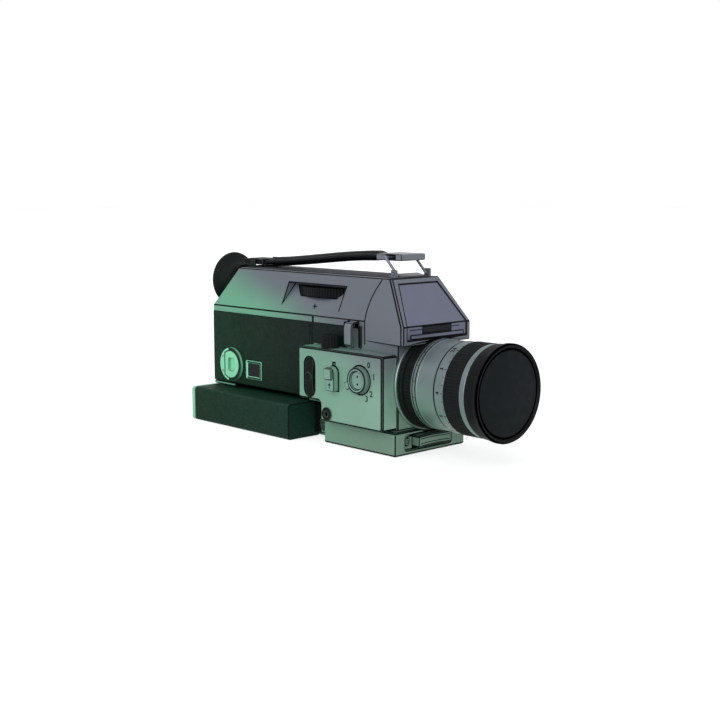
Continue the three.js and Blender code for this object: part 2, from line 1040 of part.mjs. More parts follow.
// Base tray with the trigger recess, bush seat and grip pivot
function baseTray() {
  const frontShape = roundedBox(-baseStep, baseFace, -baseHalf, baseHalf, recessCorner);
  const front = sweep("z", frontShape, 0, baseTall, baseBevel);
  const middle = block(-baseTallRear, -baseStep + overrun, -nestHalf, bodyHalf, 0, baseTall);
  const rear = block(-rearReach + baseRearInset, -baseStep, -nestHalf, bodyHalf, 0, baseFloor);
  const recessShape = roundedBox(-recessNear, recessFar, recessLow, recessHigh, recessCorner);
  const recess = sweep("x", recessShape, baseFace - recessDeep, baseFace + overrun);
  const triggerRoom = block(
    baseFace - recessDeep - triggerDeep - triggerTravel - runGap,
    baseFace,
    -triggerNear - runGap,
    triggerFar + runGap,
    triggerLow - runGap,
    triggerHigh + runGap,
  );
  const cableHole = rod(
    "x",
    -cableOut,
    cableHeight,
    baseFace - recessDeep - cableDeep - seatGap,
    baseFace,
    cableRadius + seatGap,
  );
  const bushSeat = rod(
    "z",
    -bushReach,
    0,
    -overrun,
    bushSink + bushTall + seatGap,
    bushRadius + seatGap,
    ringSteps,
  );
  const pivotBore = rod(
    "y",
    -gripPivotReach,
    gripPivotHeight,
    -nestHalf - overrun,
    -nestHalf + gripBoltGrip + seatGap,
    gripBoltRadius + seatGap,
  );
  const seats = screwPlaces().map(([x, y]) =>
    fuse(
      rod("z", x, y, -overrun, screwSink + screwHeadTall + seatGap, screwHead + seatGap),
      rod("z", x, y, -overrun, screwSink + screwLong + seatGap, screwShank + seatGap),
    ),
  );
  return cut(
    fuse(front, middle, rear),
    lensRoom(),
    recess,
    triggerRoom,
    cableHole,
    bushSeat,
    pivotBore,
    ...seats,
  );
}

// Where the base screws sit
function screwPlaces() {
  return [
    [-screwFrontReach, screwOut],
    [-screwFrontReach, -screwOut],
    [-screwRearReach, screwFarOut],
  ];
}

// One slotted base screw, head down
function baseScrew([x, y]) {
  const head = rod("z", x, y, screwSink, screwSink + screwHeadTall, screwHead);
  const shank = rod("z", x, y, screwSink, screwSink + screwLong, screwShank);
  const half = screwSlotWide / 2;
  const slot = block(
    x - half,
    x + half,
    y - screwHead - overrun,
    y + screwHead + overrun,
    screwSink - overrun,
    screwSink + screwSlotDeep,
  );
  return cut(fuse(head, shank), slot);
}

// Threaded bush for a tripod
function tripodBush() {
  const low = bushSink;
  const body = rod("z", -bushReach, 0, low, low + bushTall, bushRadius, ringSteps);
  const bore = rod("z", -bushReach, 0, low - overrun, low + bushTall - bushRoof, bushBore);
  return cut(body, bore);
}

// Wide finger trigger with a hollowed face
function trigger() {
  const face = baseFace + triggerProud;
  const back = baseFace - recessDeep - triggerDeep;
  const shape = new THREE.Shape();
  shape.moveTo(back, -triggerNear);
  shape.lineTo(face, -triggerNear);
  shape.quadraticCurveTo(
    face - 2 * triggerSaddle,
    (triggerFar - triggerNear) / 2,
    face,
    triggerFar,
  );
  shape.lineTo(back, triggerFar);
  shape.closePath();
  return sweep("z", shape, triggerLow, triggerHigh, baseBevel);
}

// Socket for a cable release
function cableSocket() {
  const back = baseFace - recessDeep - cableDeep;
  const front = baseFace - recessDeep + cableProud;
  const profile = [
    [back, 0],
    [back, cableRadius],
    [front, cableRadius],
    [front, cableBore],
    [back + cableProud, cableBore],
    [back + cableProud, 0],
  ];
  return turned(profile, 0, smallSteps).translate([0, -cableOut, cableHeight]);
}

// Side housing that carries the controls
function controlHousing() {
  const shape = softOutline(
    [
      [-controlRear, controlHigh],
      [boxFace, controlHigh],
      [boxFace, controlLow],
      [-notchFront, controlLow],
      [-notchFront, notchHigh],
      [-controlRear, notchHigh],
    ],
    controlCorner,
  );
  const mass = sweep("y", shape, -controlFace, -bodyHalf - seatGap, controlBevel);
  const slot = sweep(
    "y",
    rockerSlot(0),
    -controlFace - overrun,
    -controlFace + slotDeep,
  );
  const tongue = leverTongue / 2 + runGap;
  const leverSlot = block(
    -leverReach - tongue,
    -leverReach + tongue,
    -controlFace - overrun,
    -controlFace + leverTongueDeep + runGap,
    leverLow + leverCorner - runGap,
    leverLow + leverTall - leverCorner + leverTravel + runGap,
  );
  const dialBore = rod(
    "y",
    -dialReach,
    dialHeight,
    -controlFace - overrun,
    -controlFace + dialSpigotDeep + seatGap,
    dialSpigot + runGap / 2,
    ringSteps,
  );
  const knobBore = rod(
    "z",
    -knobReach,
    -knobOut,
    controlHigh - knobShaftDeep - seatGap,
    controlHigh + overrun,
    knobShaft + runGap / 2,
  );
  const socketHole = rod(
    "y",
    -socketReach,
    socketHeight,
    -controlFace - overrun,
    -controlFace + socketDeep + seatGap,
    socketBossRadius + seatGap,
  );
  return cut(mass, slot, leverSlot, dialBore, knobBore, socketHole);
}

// Outline of the rocker's slot, drawn in by a margin
function rockerSlot(margin) {
  return roundedBox(
    -rockerReach - slotHalfWide + margin,
    -rockerReach + slotHalfWide - margin,
    rockerMiddle - slotHalfTall + margin,
    rockerMiddle + slotHalfTall - margin,
    slotHalfWide - margin - seatGap,
  );
}

// Dark cup that lines the rocker's slot and holds its pin
function rockerLiner() {
  const back = -controlFace + slotDeep - seatGap;
  const cup = sweep("y", rockerSlot(seatGap), -controlFace + controlBevel / 2, back);
  const hollow = sweep(
    "y",
    rockerSlot(linerWall),
    -controlFace - overrun,
    back - linerFloor,
  );
  const pinBore = rod(
    "x",
    -controlFace + rockerPivotIn,
    rockerMiddle,
    -rockerReach - slotHalfWide - overrun,
    -rockerReach + slotHalfWide + overrun,
    rockerPin + hingePinFit,
  );
  return cut(cup, hollow, pinBore);
}

// Rocker with a raised round middle, on its own pin
function zoomRocker() {
  const inset = linerWall + rockerGap;
  const half = slotHalfTall - inset;
  const front = -controlFace - rockerProud;
  const back = -controlFace + rockerPivotIn + rockerBack;
  const profile = new THREE.Shape();
  profile.moveTo(back, rockerMiddle - half / 2);
  profile.lineTo(front + rockerCrown, rockerMiddle - half);
  profile.quadraticCurveTo(
    front - rockerCrown,
    rockerMiddle,
    front + rockerCrown,
    rockerMiddle + half,
  );
  profile.lineTo(back, rockerMiddle + half / 2);
  profile.closePath();
  const wide = slotHalfWide - inset;
  const bar = sweep("x", profile, -rockerReach - wide, -rockerReach + wide);
  const plan = sweep("y", rockerSlot(inset), front - overrun, back + overrun);
  const button = rod(
    "y",
    -rockerReach,
    rockerMiddle,
    front - rockerButtonProud,
    back,
    rockerButton,
  );
  const pinHalf = slotHalfWide - seatGap * 2;
  const pin = rod(
    "x",
    -controlFace + rockerPivotIn,
    rockerMiddle,
    -rockerReach - pinHalf,
    -rockerReach + pinHalf,
    rockerPin,
  );
  return fuse(bar.intersect(plan), button, pin);
}

// Sliding lever: an arched block with a thumb pad and a guide tongue
function slideLever() {
  const back = -controlFace - runGap;
  const top = leverLow + leverTall;
  const shape = new THREE.Shape();
  shape.moveTo(-leverReach - leverStemHalf, leverLow);
  shape.lineTo(-leverReach + leverHalf, leverLow);
  shape.lineTo(-leverReach + leverHalf, top - leverHalf);
  shape.absarc(-leverReach, top - leverHalf, leverHalf, 0, Math.PI);
  shape.lineTo(-leverReach - leverHalf, top - leverHalf - leverPadTall / 2);
  shape.lineTo(-leverReach - leverStemHalf, top - leverHalf - leverPadTall);
  shape.closePath();
  const body = sweep("y", shape, back - leverThick, back);
  const padShape = roundedBox(
    -leverReach - leverHalf + leverCorner / 2,
    -leverReach + leverStemHalf,
    top - leverPadTall - leverCorner,
    top - leverCorner,
    leverCorner,
  );
  const pad = sweep(
    "y",
    padShape,
    back - leverThick - leverPadThick,
    back - leverThick + leverPadThick,
  );
  const tongue = block(
    -leverReach - leverTongue / 2,
    -leverReach + leverTongue / 2,
    back - leverThick / 2,
    -controlFace + leverTongueDeep,
    leverLow + leverCorner,
    top - leverCorner,
  );
  return fuse(body, pad, tongue);
}

// Dial ring with its tab, turning on the hub
function dialRing() {
  const back = -controlFace - runGap;
  const shape = new THREE.Shape();
  const turn = THREE.MathUtils.degToRad(dialTabTurn);
  const spread = dialTabHalf / dialRadius;
  shape.absarc(-dialReach, dialHeight, dialRadius, turn + spread, turn + Math.PI * 2 - spread);
  const tip = (angle) => [
    -dialReach + (dialRadius + dialTab) * Math.cos(angle),
    dialHeight + (dialRadius + dialTab) * Math.sin(angle),
  ];
  shape.lineTo(...tip(turn - spread * dialTipShare));
  shape.lineTo(...tip(turn + spread * dialTipShare));
  shape.closePath();
  hole(shape, -dialReach, dialHeight, dialInner + runGap);
  return sweep("y", shape, back - dialThick, back, 0, curveSteps);
}

// Fixed disc inside the dial ring, with two spanner holes
function dialHub() {
  const front = -controlFace - dialThick - runGap + dialLip;
  const disc = rod("y", -dialReach, dialHeight, front, -controlFace - seatGap, dialInner, ringSteps);
  const spigot = rod(
    "y",
    -dialReach,
    dialHeight,
    -controlFace - dialLip,
    -controlFace + dialSpigotDeep,
    dialSpigot,
  );
  const holes = [-1, 1].map((side) =>
    rod(
      "y",
      -dialReach,
      dialHeight + side * hubPinSpacing,
      front - overrun,
      front + hubPinDeep,
      hubPinRadius,
      smallSteps / 2,
    ),
  );
  return cut(fuse(disc, spigot), ...holes);
}

// Ribbed knob on the housing's top
function sideKnob() {
  const low = controlHigh + runGap;
  const shape = ribbedOutline(-knobReach, -knobOut, knobRadius, knobRibDepth, knobRibs);
  const head = sweep("z", shape, low, low + knobTall);
  const shaft = rod(
    "z",
    -knobReach,
    -knobOut,
    controlHigh - knobShaftDeep,
    low + knobTall / 2,
    knobShaft,
  );
  return fuse(head, shaft);
}

// Curved clip lever, hinged at its top
function clipLever() {
  const shape = new THREE.Shape();
  const pivot = -clipPivotOut;
  const out = -clipOut;
  shape.moveTo(pivot + clipBarrel / 2, clipPivotHeight);
  shape.lineTo(pivot, clipPivotHeight + clipBarrel);
  shape.quadraticCurveTo(out, clipPivotHeight + clipBarrel, out, clipPivotHeight - 2 * clipBarrel);
  shape.lineTo(out, clipFoot + 2 * clipBarrel);
  shape.quadraticCurveTo(out, clipFoot, pivot, clipFoot);
  shape.lineTo(pivot, clipFoot + clipSheet);
  shape.quadraticCurveTo(out + clipSheet, clipFoot + clipSheet, out + clipSheet, clipFoot + 2 * clipBarrel);
  shape.lineTo(out + clipSheet, clipPivotHeight - 2 * clipBarrel);
  shape.closePath();
  const strip = sweep("x", shape, -clipReach - clipHalf, -clipReach + clipHalf);
  const barrel = rod(
    "x",
    pivot,
    clipPivotHeight,
    -clipReach - clipHalf,
    -clipReach + clipHalf,
    clipBarrel,
  );
  const pinHalf = clipHalf + clipEar;
  const pin = rod(
    "x",
    pivot,
    clipPivotHeight,
    -clipReach - pinHalf,
    -clipReach + pinHalf,
    clipPin,
  );
  return fuse(strip, barrel, pin);
}

// Dark strip set in beside the clip lever
function sideInlay() {
  const back = -bodyHalf - seatGap;
  const shape = roundedBox(
    -inlayReach - inlayHalf,
    -inlayReach + inlayHalf,
    inlayLow,
    inlayHigh,
    inlayHalf / 2,
  );
  return sweep("y", shape, back - inlayThick, back);
}

// Round jack socket
function jackSocket() {
  const face = -controlFace - socketProud;
  const flange = rod("y", -socketReach, socketHeight, face, -controlFace - seatGap, socketRadius);
  const boss = rod(
    "y",
    -socketReach,
    socketHeight,
    -controlFace - socketProud,
    -controlFace + socketDeep,
    socketBossRadius,
  );
  const bore = rod(
    "y",
    -socketReach,
    socketHeight,
    face - overrun,
    -controlFace + socketDeep - socketProud,
    socketBore,
  );
  return cut(fuse(flange, boss), bore);
}

// Thumbwheel sector with a ribbed rim, on its own pivot
function slopeWheel() {
  const points = [];
  const half = THREE.MathUtils.degToRad(wheelHalfTurn);
  const valley = [0, wheelRadius - wheelRibDepth];
  const crest = wheelCrestShares.map((share) => [share, wheelRadius]);
  for (let i = 0; i <= wheelRibs; i += 1) {
    for (const [share, reach] of [valley, ...crest]) {
      if (i === wheelRibs && share > 0) break;
      const turn = -Math.PI / 2 - half + ((i + share) / wheelRibs) * 2 * half;
      points.push([-wheelReach + reach * Math.cos(turn), wheelOut + reach * Math.sin(turn)]);
    }
  }
  points.push([-wheelReach + wheelHub, wheelOut]);
  points.push([-wheelReach - wheelHub, wheelOut]);
  const high = wheelLow + wheelTall;
  const sector = sweep("z", outline(points), wheelLow, high);
  const hub = rod("z", -wheelReach, wheelOut, wheelLow, high, wheelHub);
  const pin = rod(
    "z",
    -wheelReach,
    wheelOut,
    wheelLow - wheelPinRise,
    high + wheelPinRise,
    wheelPin,
  );
  return fuse(sector, hub, pin);
}

// Film door: a plate with a hinge bead, latch bore and window
function doorPlate() {
  const outer = -bodyHalf;
  const hinge = outer + doorThick / 2;
  const high = shoulderHeight - seatGap * 2;
  const plate = block(
    -rearReach + seatGap,
    -doorHingeReach,
    outer,
    outer + doorThick,
    doorLow,
    high,
  );
  const bead = rod("z", -doorHingeReach, hinge, doorLow, high, doorThick / 2);
  const pinBore = rod(
    "z",
    -doorHingeReach,
    hinge,
    doorLow - overrun,
    high + overrun,
    hingePinRadius + hingePinFit,
  );
  const latchBore = rod(
    "y",
    -latchReach,
    latchHeight,
    outer - overrun,
    outer + doorThick + overrun,
    latchHub + runGap,
    midSteps,
  );
  const inset = windowBorder + windowCutInset;
  const sight = block(
    -windowReach - windowWide / 2 + inset,
    -windowReach + windowWide / 2 - inset,
    outer - overrun,
    outer + doorThick + overrun,
    windowMiddle - windowTall / 2 + inset,
    windowMiddle + windowTall / 2 - inset,
  );
  return cut(fuse(plate, bead), pinBore, latchBore, sight);
}

// Leather on the film door, cut round the latch and the window
function doorLeather() {
  const back = -bodyHalf - seatGap;
  const shape = outline([
    [-rearReach + seatGap + leatherEdge, doorLow + seatGap],
    [-doorHingeReach - leatherStart, doorLow + seatGap],
    [-doorHingeReach - leatherStart, shoulderHeight - rimWidth],
    [-rearReach + seatGap + leatherEdge, shoulderHeight - rimWidth],
  ]);
  const sheet = sweep("y", shape, back - leatherThick, back);
  const round = rod(
    "y",
    -latchReach,
    latchHeight,
    back - overrun,
    back + overrun,
    latchRadius + runGap,
    ringSteps,
  );
  const square = block(
    -windowReach - windowWide / 2 - seatGap,
    -windowReach + windowWide / 2 + seatGap,
    back - overrun,
    back + overrun,
    windowMiddle - windowTall / 2 - seatGap,
    windowMiddle + windowTall / 2 + seatGap,
  );
  return cut(sheet, round, square);
}

// Light frame round the door's window
function windowFrame() {
  const back = -bodyHalf - seatGap;
  const left = -windowReach - windowWide / 2;
  const low = windowMiddle - windowTall / 2;
  const ring = sweep(
    "y",
    roundedBox(left, left + windowWide, low, low + windowTall, windowThick / 2),
    back - windowThick,
    back,
  );
  const opening = block(
    left + windowBorder,
    left + windowWide - windowBorder,
    back - overrun,
    back + overrun,
    low + windowBorder,
    low + windowTall - windowBorder,
  );
  return cut(ring, opening);
}

// Pane of the door's window
function windowPane() {
  const back = -bodyHalf - seatGap;
  const inset = windowBorder + seatGap;
  return block(
    -windowReach - windowWide / 2 + inset,
    -windowReach + windowWide / 2 - inset,
    back - windowGlassThick,
    back,
    windowMiddle - windowTall / 2 + inset,
    windowMiddle + windowTall / 2 - inset,
  );
}

// Where the latch disc's outer face lies
function latchFace() {
  return -bodyHalf - runGap - latchThick;
}

// Latch disc with its hub, inner cam and the recess for the handle
function latchDisc() {
  const face = latchFace();
  const disc = rod(
    "y",
    -latchReach,
    latchHeight,
    face,
    -bodyHalf - runGap,
    latchRadius,
    ringSteps,
  );
  const camBack = -bodyHalf + doorThick + runGap;
  const hub = rod(
    "y",
    -latchReach,
    latchHeight,
    face + handleThick + runGap,
    camBack + camThick,
    latchHub,
    midSteps,
  );
  const cam = block(
    -latchReach - camHalf,
    -latchReach + camHalf,
    camBack,
    camBack + camThick,
    latchHeight - latchHub,
    latchHeight + camRadius,
  );
  const recess = fuse(
    sweep(
      "y",
      handleOutline(-handleGap),
      face - overrun,
      face + handleThick + runGap,
      0,
      curveSteps,
    ),
    block(
      -latchReach - handleFlat - handleThick / 2 - handleGap,
      -latchReach - handleFlat + handleThick,
      face - overrun,
      face + handleThick + runGap,
      latchHeight - handleChord() - handleGap,
      latchHeight + handleChord() + handleGap,
    ),
  );
  return cut(fuse(disc, hub, cam), recess, handleAxle(handlePin + handlePinFit, handlePinHalf));
}

// D outline of the fold-out handle, drawn in by a margin
function handleOutline(margin) {
  const radius = handleRadius - margin;
  const flat = handleFlat - margin;
  const start = Math.acos(flat / radius);
  const shape = new THREE.Shape();
  shape.absarc(-latchReach, latchHeight, radius, start - Math.PI, Math.PI - start);
  shape.closePath();
  return shape;
}

// Half the length of the handle's straight edge
function handleChord() {
  return Math.sqrt(handleRadius ** 2 - handleFlat ** 2);
}

// A bar along the line that the handle folds about
function handleAxle(radius, half) {
  const [x, y] = [-latchReach - handleFlat, latchFace() + handleThick / 2];
  return rod("z", x, y, latchHeight - half, latchHeight + half, radius, wireSteps);
}

// Fold-out handle of the latch, lying in the disc
function latchHandle() {
  const face = latchFace();
  const plate = sweep("y", handleOutline(0), face, face + handleThick, 0, curveSteps);
  const grip = sweep(
    "y",
    roundedBox(
      -latchReach - handleHole / 2,
      -latchReach + handleHole,
      latchHeight - handleHole,
      latchHeight + handleHole,
      handleHole / 3,
    ),
    face - overrun,
    face + handleThick + overrun,
  );
  const barrel = handleAxle(handleThick / 2, handleChord());
  return fuse(cut(plate, grip), barrel, handleAxle(handlePin, handlePinHalf - runGap));
}

// Pin that the film door turns on
function doorHingePin() {
  return rod(
    "z",
    -doorHingeReach,
    -bodyHalf + doorThick / 2,
    doorLow - sillGap - hingePinGrip + seatGap,
    shoulderHeight + hingePinGrip - seatGap,
    hingePinRadius,
  );
}

// Leather on the body's side ahead of the film door
function frontLeather() {
  const back = -bodyHalf - seatGap;
  const rear = -doorHingeReach + doorThick / 2 + runGap * 2;
  return block(
    rear,
    -clipReach - clipHalf - clipEar - runGap * 2,
    back - leatherThick,
    back,
    controlHigh + leatherEdge,
    shoulderHeight - rimWidth,
  );
}

// Leather on the far side
function farLeather() {
  const face = bodyHalf + seatGap;
  return block(
    -rearReach + leatherEdge,
    -farLeatherFront,
    face,
    face + leatherThick,
    farLeatherLow,
    shoulderHeight - rimWidth,
  );
}

// Film gate with its aperture and claw slot
function gatePlate() {
  const back = -chamberFront - seatGap;
  const plate = block(
    back - gateThick,
    back,
    gateMiddle - gateHalf,
    gateMiddle + gateHalf,
    gateLow,
    gateHigh,
  );
  const middle = (gateLow + gateHigh) / 2;
  const aperture = block(
    back - gateThick - overrun,
    back + overrun,
    gateMiddle - apertureWide / 2,
    gateMiddle + apertureWide / 2,
    middle - apertureTall / 2,
    middle + apertureTall / 2,
  );
  const claw = block(
    back - gateThick - overrun,
    back + overrun,
    gateMiddle - clawOffset - clawWide / 2,
    gateMiddle - clawOffset + clawWide / 2,
    middle - clawTall / 2,
    middle + clawTall / 2,
  );
  return cut(plate, aperture, claw);
}

// Drive spindle that turns the cartridge's core
function driveSpindle() {
  const shaft = rod(
    "y",
    -spindleReach,
    spindleHeight,
    chamberDeep - spindleFlangeThick,
    chamberDeep + spindleDeep,
    spindleRadius,
  );
  const flange = rod(
    "y",
    -spindleReach,
    spindleHeight,
    chamberDeep - runGap - spindleFlangeThick,
    chamberDeep - runGap,
    spindleFlange,
  );
  const tip = rod(
    "y",
    -spindleReach,
    spindleHeight,
    chamberDeep - spindleRise,
    chamberDeep,
    spindleTip,
    spindleFlats,
  );
  return fuse(shaft, flange, tip);
}

// Bowed leaf spring that presses the cartridge towards the gate
function cartridgeSpring() {
  const back = -chamberRear + seatGap;
  const low = (chamberLow + chamberHigh - leafTall) / 2;
  const shape = new THREE.Shape();
  shape.moveTo(back, low);
  shape.quadraticCurveTo(back + 2 * leafBow, low + leafTall / 2, back, low + leafTall);
  shape.lineTo(back + leafThick, low + leafTall);
  shape.quadraticCurveTo(
    back + 2 * leafBow + leafThick,
    low + leafTall / 2,
    back + leafThick,
    low,
  );
  shape.closePath();
  return sweep("y", shape, leafMiddle - leafHalf, leafMiddle + leafHalf);
}

// Silver flange where the lens leaves the body
function lensFlange() {
  return sleeve(
    boxFace + seatGap,
    flangeEnd,
    spigotRadius + runGap,
    flangeRadius,
    axisHeight,
  );
}

// Fixed barrel: spigot, inner tube, index ring and outer sleeve in one turned piece
function lensBarrel() {
  const start = boxFace - spigotDepth;
  const inner = spigotRadius - tubeWall;
  const shoulder = flangeEnd + seatGap;
  const groove = (zoomEnd + runGap + indexEnd) / 2;
  const profile = [
    [start, inner],
    [start, spigotRadius],
    [shoulder, spigotRadius],
    [shoulder, tubeRadius],
    [zoomEnd + runGap, tubeRadius],
    [zoomEnd + runGap, indexRadius],
    [groove - indexGroove, indexRadius],
    [groove, indexRadius - indexGroove],
    [groove + indexGroove, indexRadius],
    [indexEnd, indexRadius],
    [indexEnd, barrelRadius],
    [barrelEnd, barrelRadius],
    [barrelEnd, tubeRadius],
    [glassRear, tubeRadius],
    [glassRear, glassRadius],
    [glassRear - retainerDeep, glassRadius],
    [glassRear - retainerDeep, inner],
    [start, inner],
  ];
  return turned(profile, axisHeight);
}

// A ribbed ring that turns on the fixed tube, with any collars it carries
function ribbedRing(from, to, radius, ribs, ...collars) {
  const shape = ribbedOutline(0, axisHeight, radius, ribDepth, ribs);
  const ring = sweep("x", shape, from, to);
  return cut(
    fuse(ring, ...collars),
    rod("x", 0, axisHeight, from - overrun, to + overrun, tubeRadius + runGap, ringSteps),
  );
}

// Zoom ring next to the body, with a plain skirt over the flange
function zoomRing() {
  const start = flangeEnd + runGap;
  const skirt = rod("x", 0, axisHeight, start, start + skirtLong, skirtRadius, ringSteps);
  return ribbedRing(start, zoomEnd, zoomRadius, zoomRibs, skirt);
}

// Distance scale that turns with the focus ring
function scaleRing() {
  return sleeve(
    barrelEnd + runGap,
    scaleEnd,
    tubeRadius + runGap,
    scaleRadius,
    axisHeight,
  );
}

// Focus ring
function focusRing() {
  return ribbedRing(scaleEnd + seatGap, focusEnd, focusRadius, focusRibs);
}

// Silver ring and dark filter ring ahead of the focus ring, one turned piece each
function frontRing() {
  const start = focusEnd + seatGap;
  const profile = [
    [start, tubeRadius + runGap],
    [start, frontRadius],
    [frontEnd, frontRadius],
    [frontEnd, glassRadius + retainerWall],
    [glassRear + runGap, glassRadius + retainerWall],
    [glassRear + runGap, tubeRadius + runGap],
    [start, tubeRadius + runGap],
  ];
  return turned(profile, axisHeight);
}

// Dark filter ring that the cap slips over
function filterRing() {
  const inner = glassRadius + retainerWall;
  const profile = [
    [frontEnd + seatGap, inner],
    [frontEnd + seatGap, filterRadius - capWall],
    [capStart + capWall, filterRadius],
    [filterEnd, filterRadius],
    [filterEnd, filterRadius - retainerWall],
    [frontEnd + retainerDeep, inner],
    [frontEnd + seatGap, inner],
  ];
  return turned(profile, axisHeight);
}

// Front element, bulged on both faces
function frontGlass() {
  const profile = [[glassRear + runGap, 0]];
  const radius = glassRadius - seatGap;
  const rear = glassRear + runGap;
  profile.push([rear, radius + retainerWall / 2]);
  profile.push([rear + glassThick - glassCrown, radius + retainerWall / 2]);
  for (let i = glassSteps; i >= 0; i -= 1) {
    const share = i / glassSteps;
    profile.push([rear + glassThick - glassCrown * share * share, radius * share]);
  }
  return turned(profile, axisHeight, midSteps);
}

// Push-on lens cap: a plain skirt and a wider raised rim
function lensCap() {
  const inner = filterRadius + runGap;
  const skirt = inner + capSkirtWall;
  const edge = capWall / 2;
  const profile = [
    [capEnd - capDish, 0],
    [capEnd - capDish, capRadius - capRim - edge],
    [capEnd, capRadius - capRim],
    [capEnd, capRadius - edge],
    [capEnd - edge, capRadius],
    [capEnd - capRimLong, capRadius],
    [capEnd - capRimLong - edge, skirt],
    [capStart, skirt],
    [capStart, inner],
    [filterEnd + runGap, inner],
    [filterEnd + runGap, 0],
  ];
  return turned(profile, axisHeight);
}

// Finder tube that leaves the slanted rear
function eyepieceTube() {
  return sleeve(
    -eyeTubeEnd,
    -eyeTubeStart,
    eyeTubeRadius - eyeTubeWall,
    eyeTubeRadius,
    eyeHeight,
    midSteps,
  );
}

// Eyepiece lens
function eyepieceGlass() {
  const radius = eyeTubeRadius - eyeTubeWall - seatGap;
  return rod("x", 0, eyeHeight, -eyeGlassReach, -eyeGlassReach + eyeGlassThick, radius, midSteps);
}

// Ribbed ring that sets the eyepiece's focus
function diopterRing() {
  const shape = ribbedOutline(0, eyeHeight, diopterRadius, diopterRibDepth, diopterRibs);
  const ring = sweep("x", shape, -diopterEnd, -diopterStart);
  return cut(
    ring,
    rod(
      "x",
      0,
      eyeHeight,
      -diopterEnd - overrun,
      -diopterStart + overrun,
      eyeTubeRadius + runGap,
      midSteps,
    ),
  );
}

// Flared rubber eyecup
function eyecup() {
  const inner = eyeTubeRadius + seatGap;
  const profile = [
    [-cupStart, inner],
    [-cupStart, cupNeck],
    [-eyeTubeEnd, cupWaist],
    [-cupEnd + cupWall, cupRadius],
    [-cupEnd, cupRadius],
    [-cupEnd, cupRadius - cupWall],
    [-eyeTubeEnd - cupWall, cupWaist - cupWall],
    [-eyeTubeEnd, inner],
    [-cupStart, inner],
  ];
  return turned(profile, eyeHeight);
}

// Dark strip let into the roof
function roofStrip() {
  return block(
    -stripRear,
    -stripFront,
    -stripHalf,
    stripHalf,
    roofHeight - stripDeep,
    roofHeight + stripProud,
  );
}

// Bracket at the roof's front edge that the bail turns in
function bailBracket() {
  const low = roofHeight + seatGap;
  const ears = bailHalf + bailWire + runGap;
  const half = ears + bailEarThick;
  const plate = block(
    -stripFront + seatGap + runGap,
    -bailReach + bailEarHalf,
    -half,
    half,
    low,
    low + bailPlateThick,
  );
  const wedge = [];
  for (const y of [-bailWedgeHalf, bailWedgeHalf]) {
    wedge.push([-stripFront + seatGap + runGap, y, low]);
    wedge.push([-stripFront + seatGap + runGap, y, low + bailWedge]);
    wedge.push([-bailReach + bailEarHalf, y, low]);
    wedge.push([-bailReach + bailEarHalf, y, low + bailPlateThick]);
  }
  const sides = [-1, 1].map((side) =>
    block(
      -bailReach - bailEarHalf,
      -bailReach + bailEarHalf,
      Math.min(side * ears, side * half),
      Math.max(side * ears, side * half),
      low,
      bailPivotHeight + bailEarHalf,
    ),
  );
  const bore = rod(
    "y",
    -bailReach,
    bailPivotHeight,
    -half - overrun,
    half + overrun,
    bailWire + hingePinFit,
  );
  return cut(fuse(plate, hull(wedge), ...sides), bore);
}

// Where the bail's cross wire lies
function bailTop() {
  const lean = THREE.MathUtils.degToRad(bailLean);
  return [
    -bailReach - bailLength * Math.cos(lean),
    bailPivotHeight + bailLength * Math.sin(lean),
  ];
}

// Wire bail: two legs, a cross wire and two stub ends, with round elbows
function strapBail() {
  const [topX, topZ] = bailTop();
  const pieces = [rod("y", topX, topZ, -bailHalf, bailHalf, bailWire, wireSteps)];
  for (const side of [-1, 1]) {
    const leg = new THREE.CylinderGeometry(bailWire, bailWire, bailLength, wireSteps);
    leg.rotateX(Math.PI / 2);
    leg.rotateY(THREE.MathUtils.degToRad(bailLean) - Math.PI / 2);
    leg.translate((topX - bailReach) / 2, side * bailHalf, (topZ + bailPivotHeight) / 2);
    pieces.push(solid(leg));
    for (const [x, z] of [
      [topX, topZ],
      [-bailReach, bailPivotHeight],
    ]) {
      const elbow = new THREE.SphereGeometry(bailWire, wireSteps, wireSteps / 2);
      pieces.push(solid(elbow.translate(x, side * bailHalf, z)));
    }
    const near = Math.min(side * bailHalf, side * (bailHalf + bailStub));
    const away = Math.max(side * bailHalf, side * (bailHalf + bailStub));
    pieces.push(rod("y", -bailReach, bailPivotHeight, near, away, bailWire, wireSteps));
  }
  return fuse(...pieces);
}

// Folded sheet clip at the strap's front, open round the bail's cross wire
function strapFrontClip() {
  const [wireX, wireZ] = bailTop();
  const slotHalf = bailWire + frontClipSlot;
  const half = slotHalf + frontClipSheet;
  const shape = roundedBox(
    -frontClipRear,
    -frontClipFront,
    wireZ - half,
    wireZ + half,
    half / 2,
  );
  const clip = sweep("y", shape, -frontClipHalf, frontClipHalf);
  const slot = block(
    wireX - slotHalf,
    wireX + slotHalf + bailSlotRun,
    -frontClipHalf - overrun,
    frontClipHalf + overrun,
    wireZ - slotHalf,
    wireZ + slotHalf,
  );
  const pocket = block(
    -frontClipRear - overrun,
    -frontClipRear + strapGrip + seatGap,
    -strapHalf - seatGap,
    strapHalf + seatGap,
    wireZ - strapThick / 2 - seatGap,
    wireZ + strapThick / 2 + seatGap,
  );
  return cut(clip, slot, pocket);
}

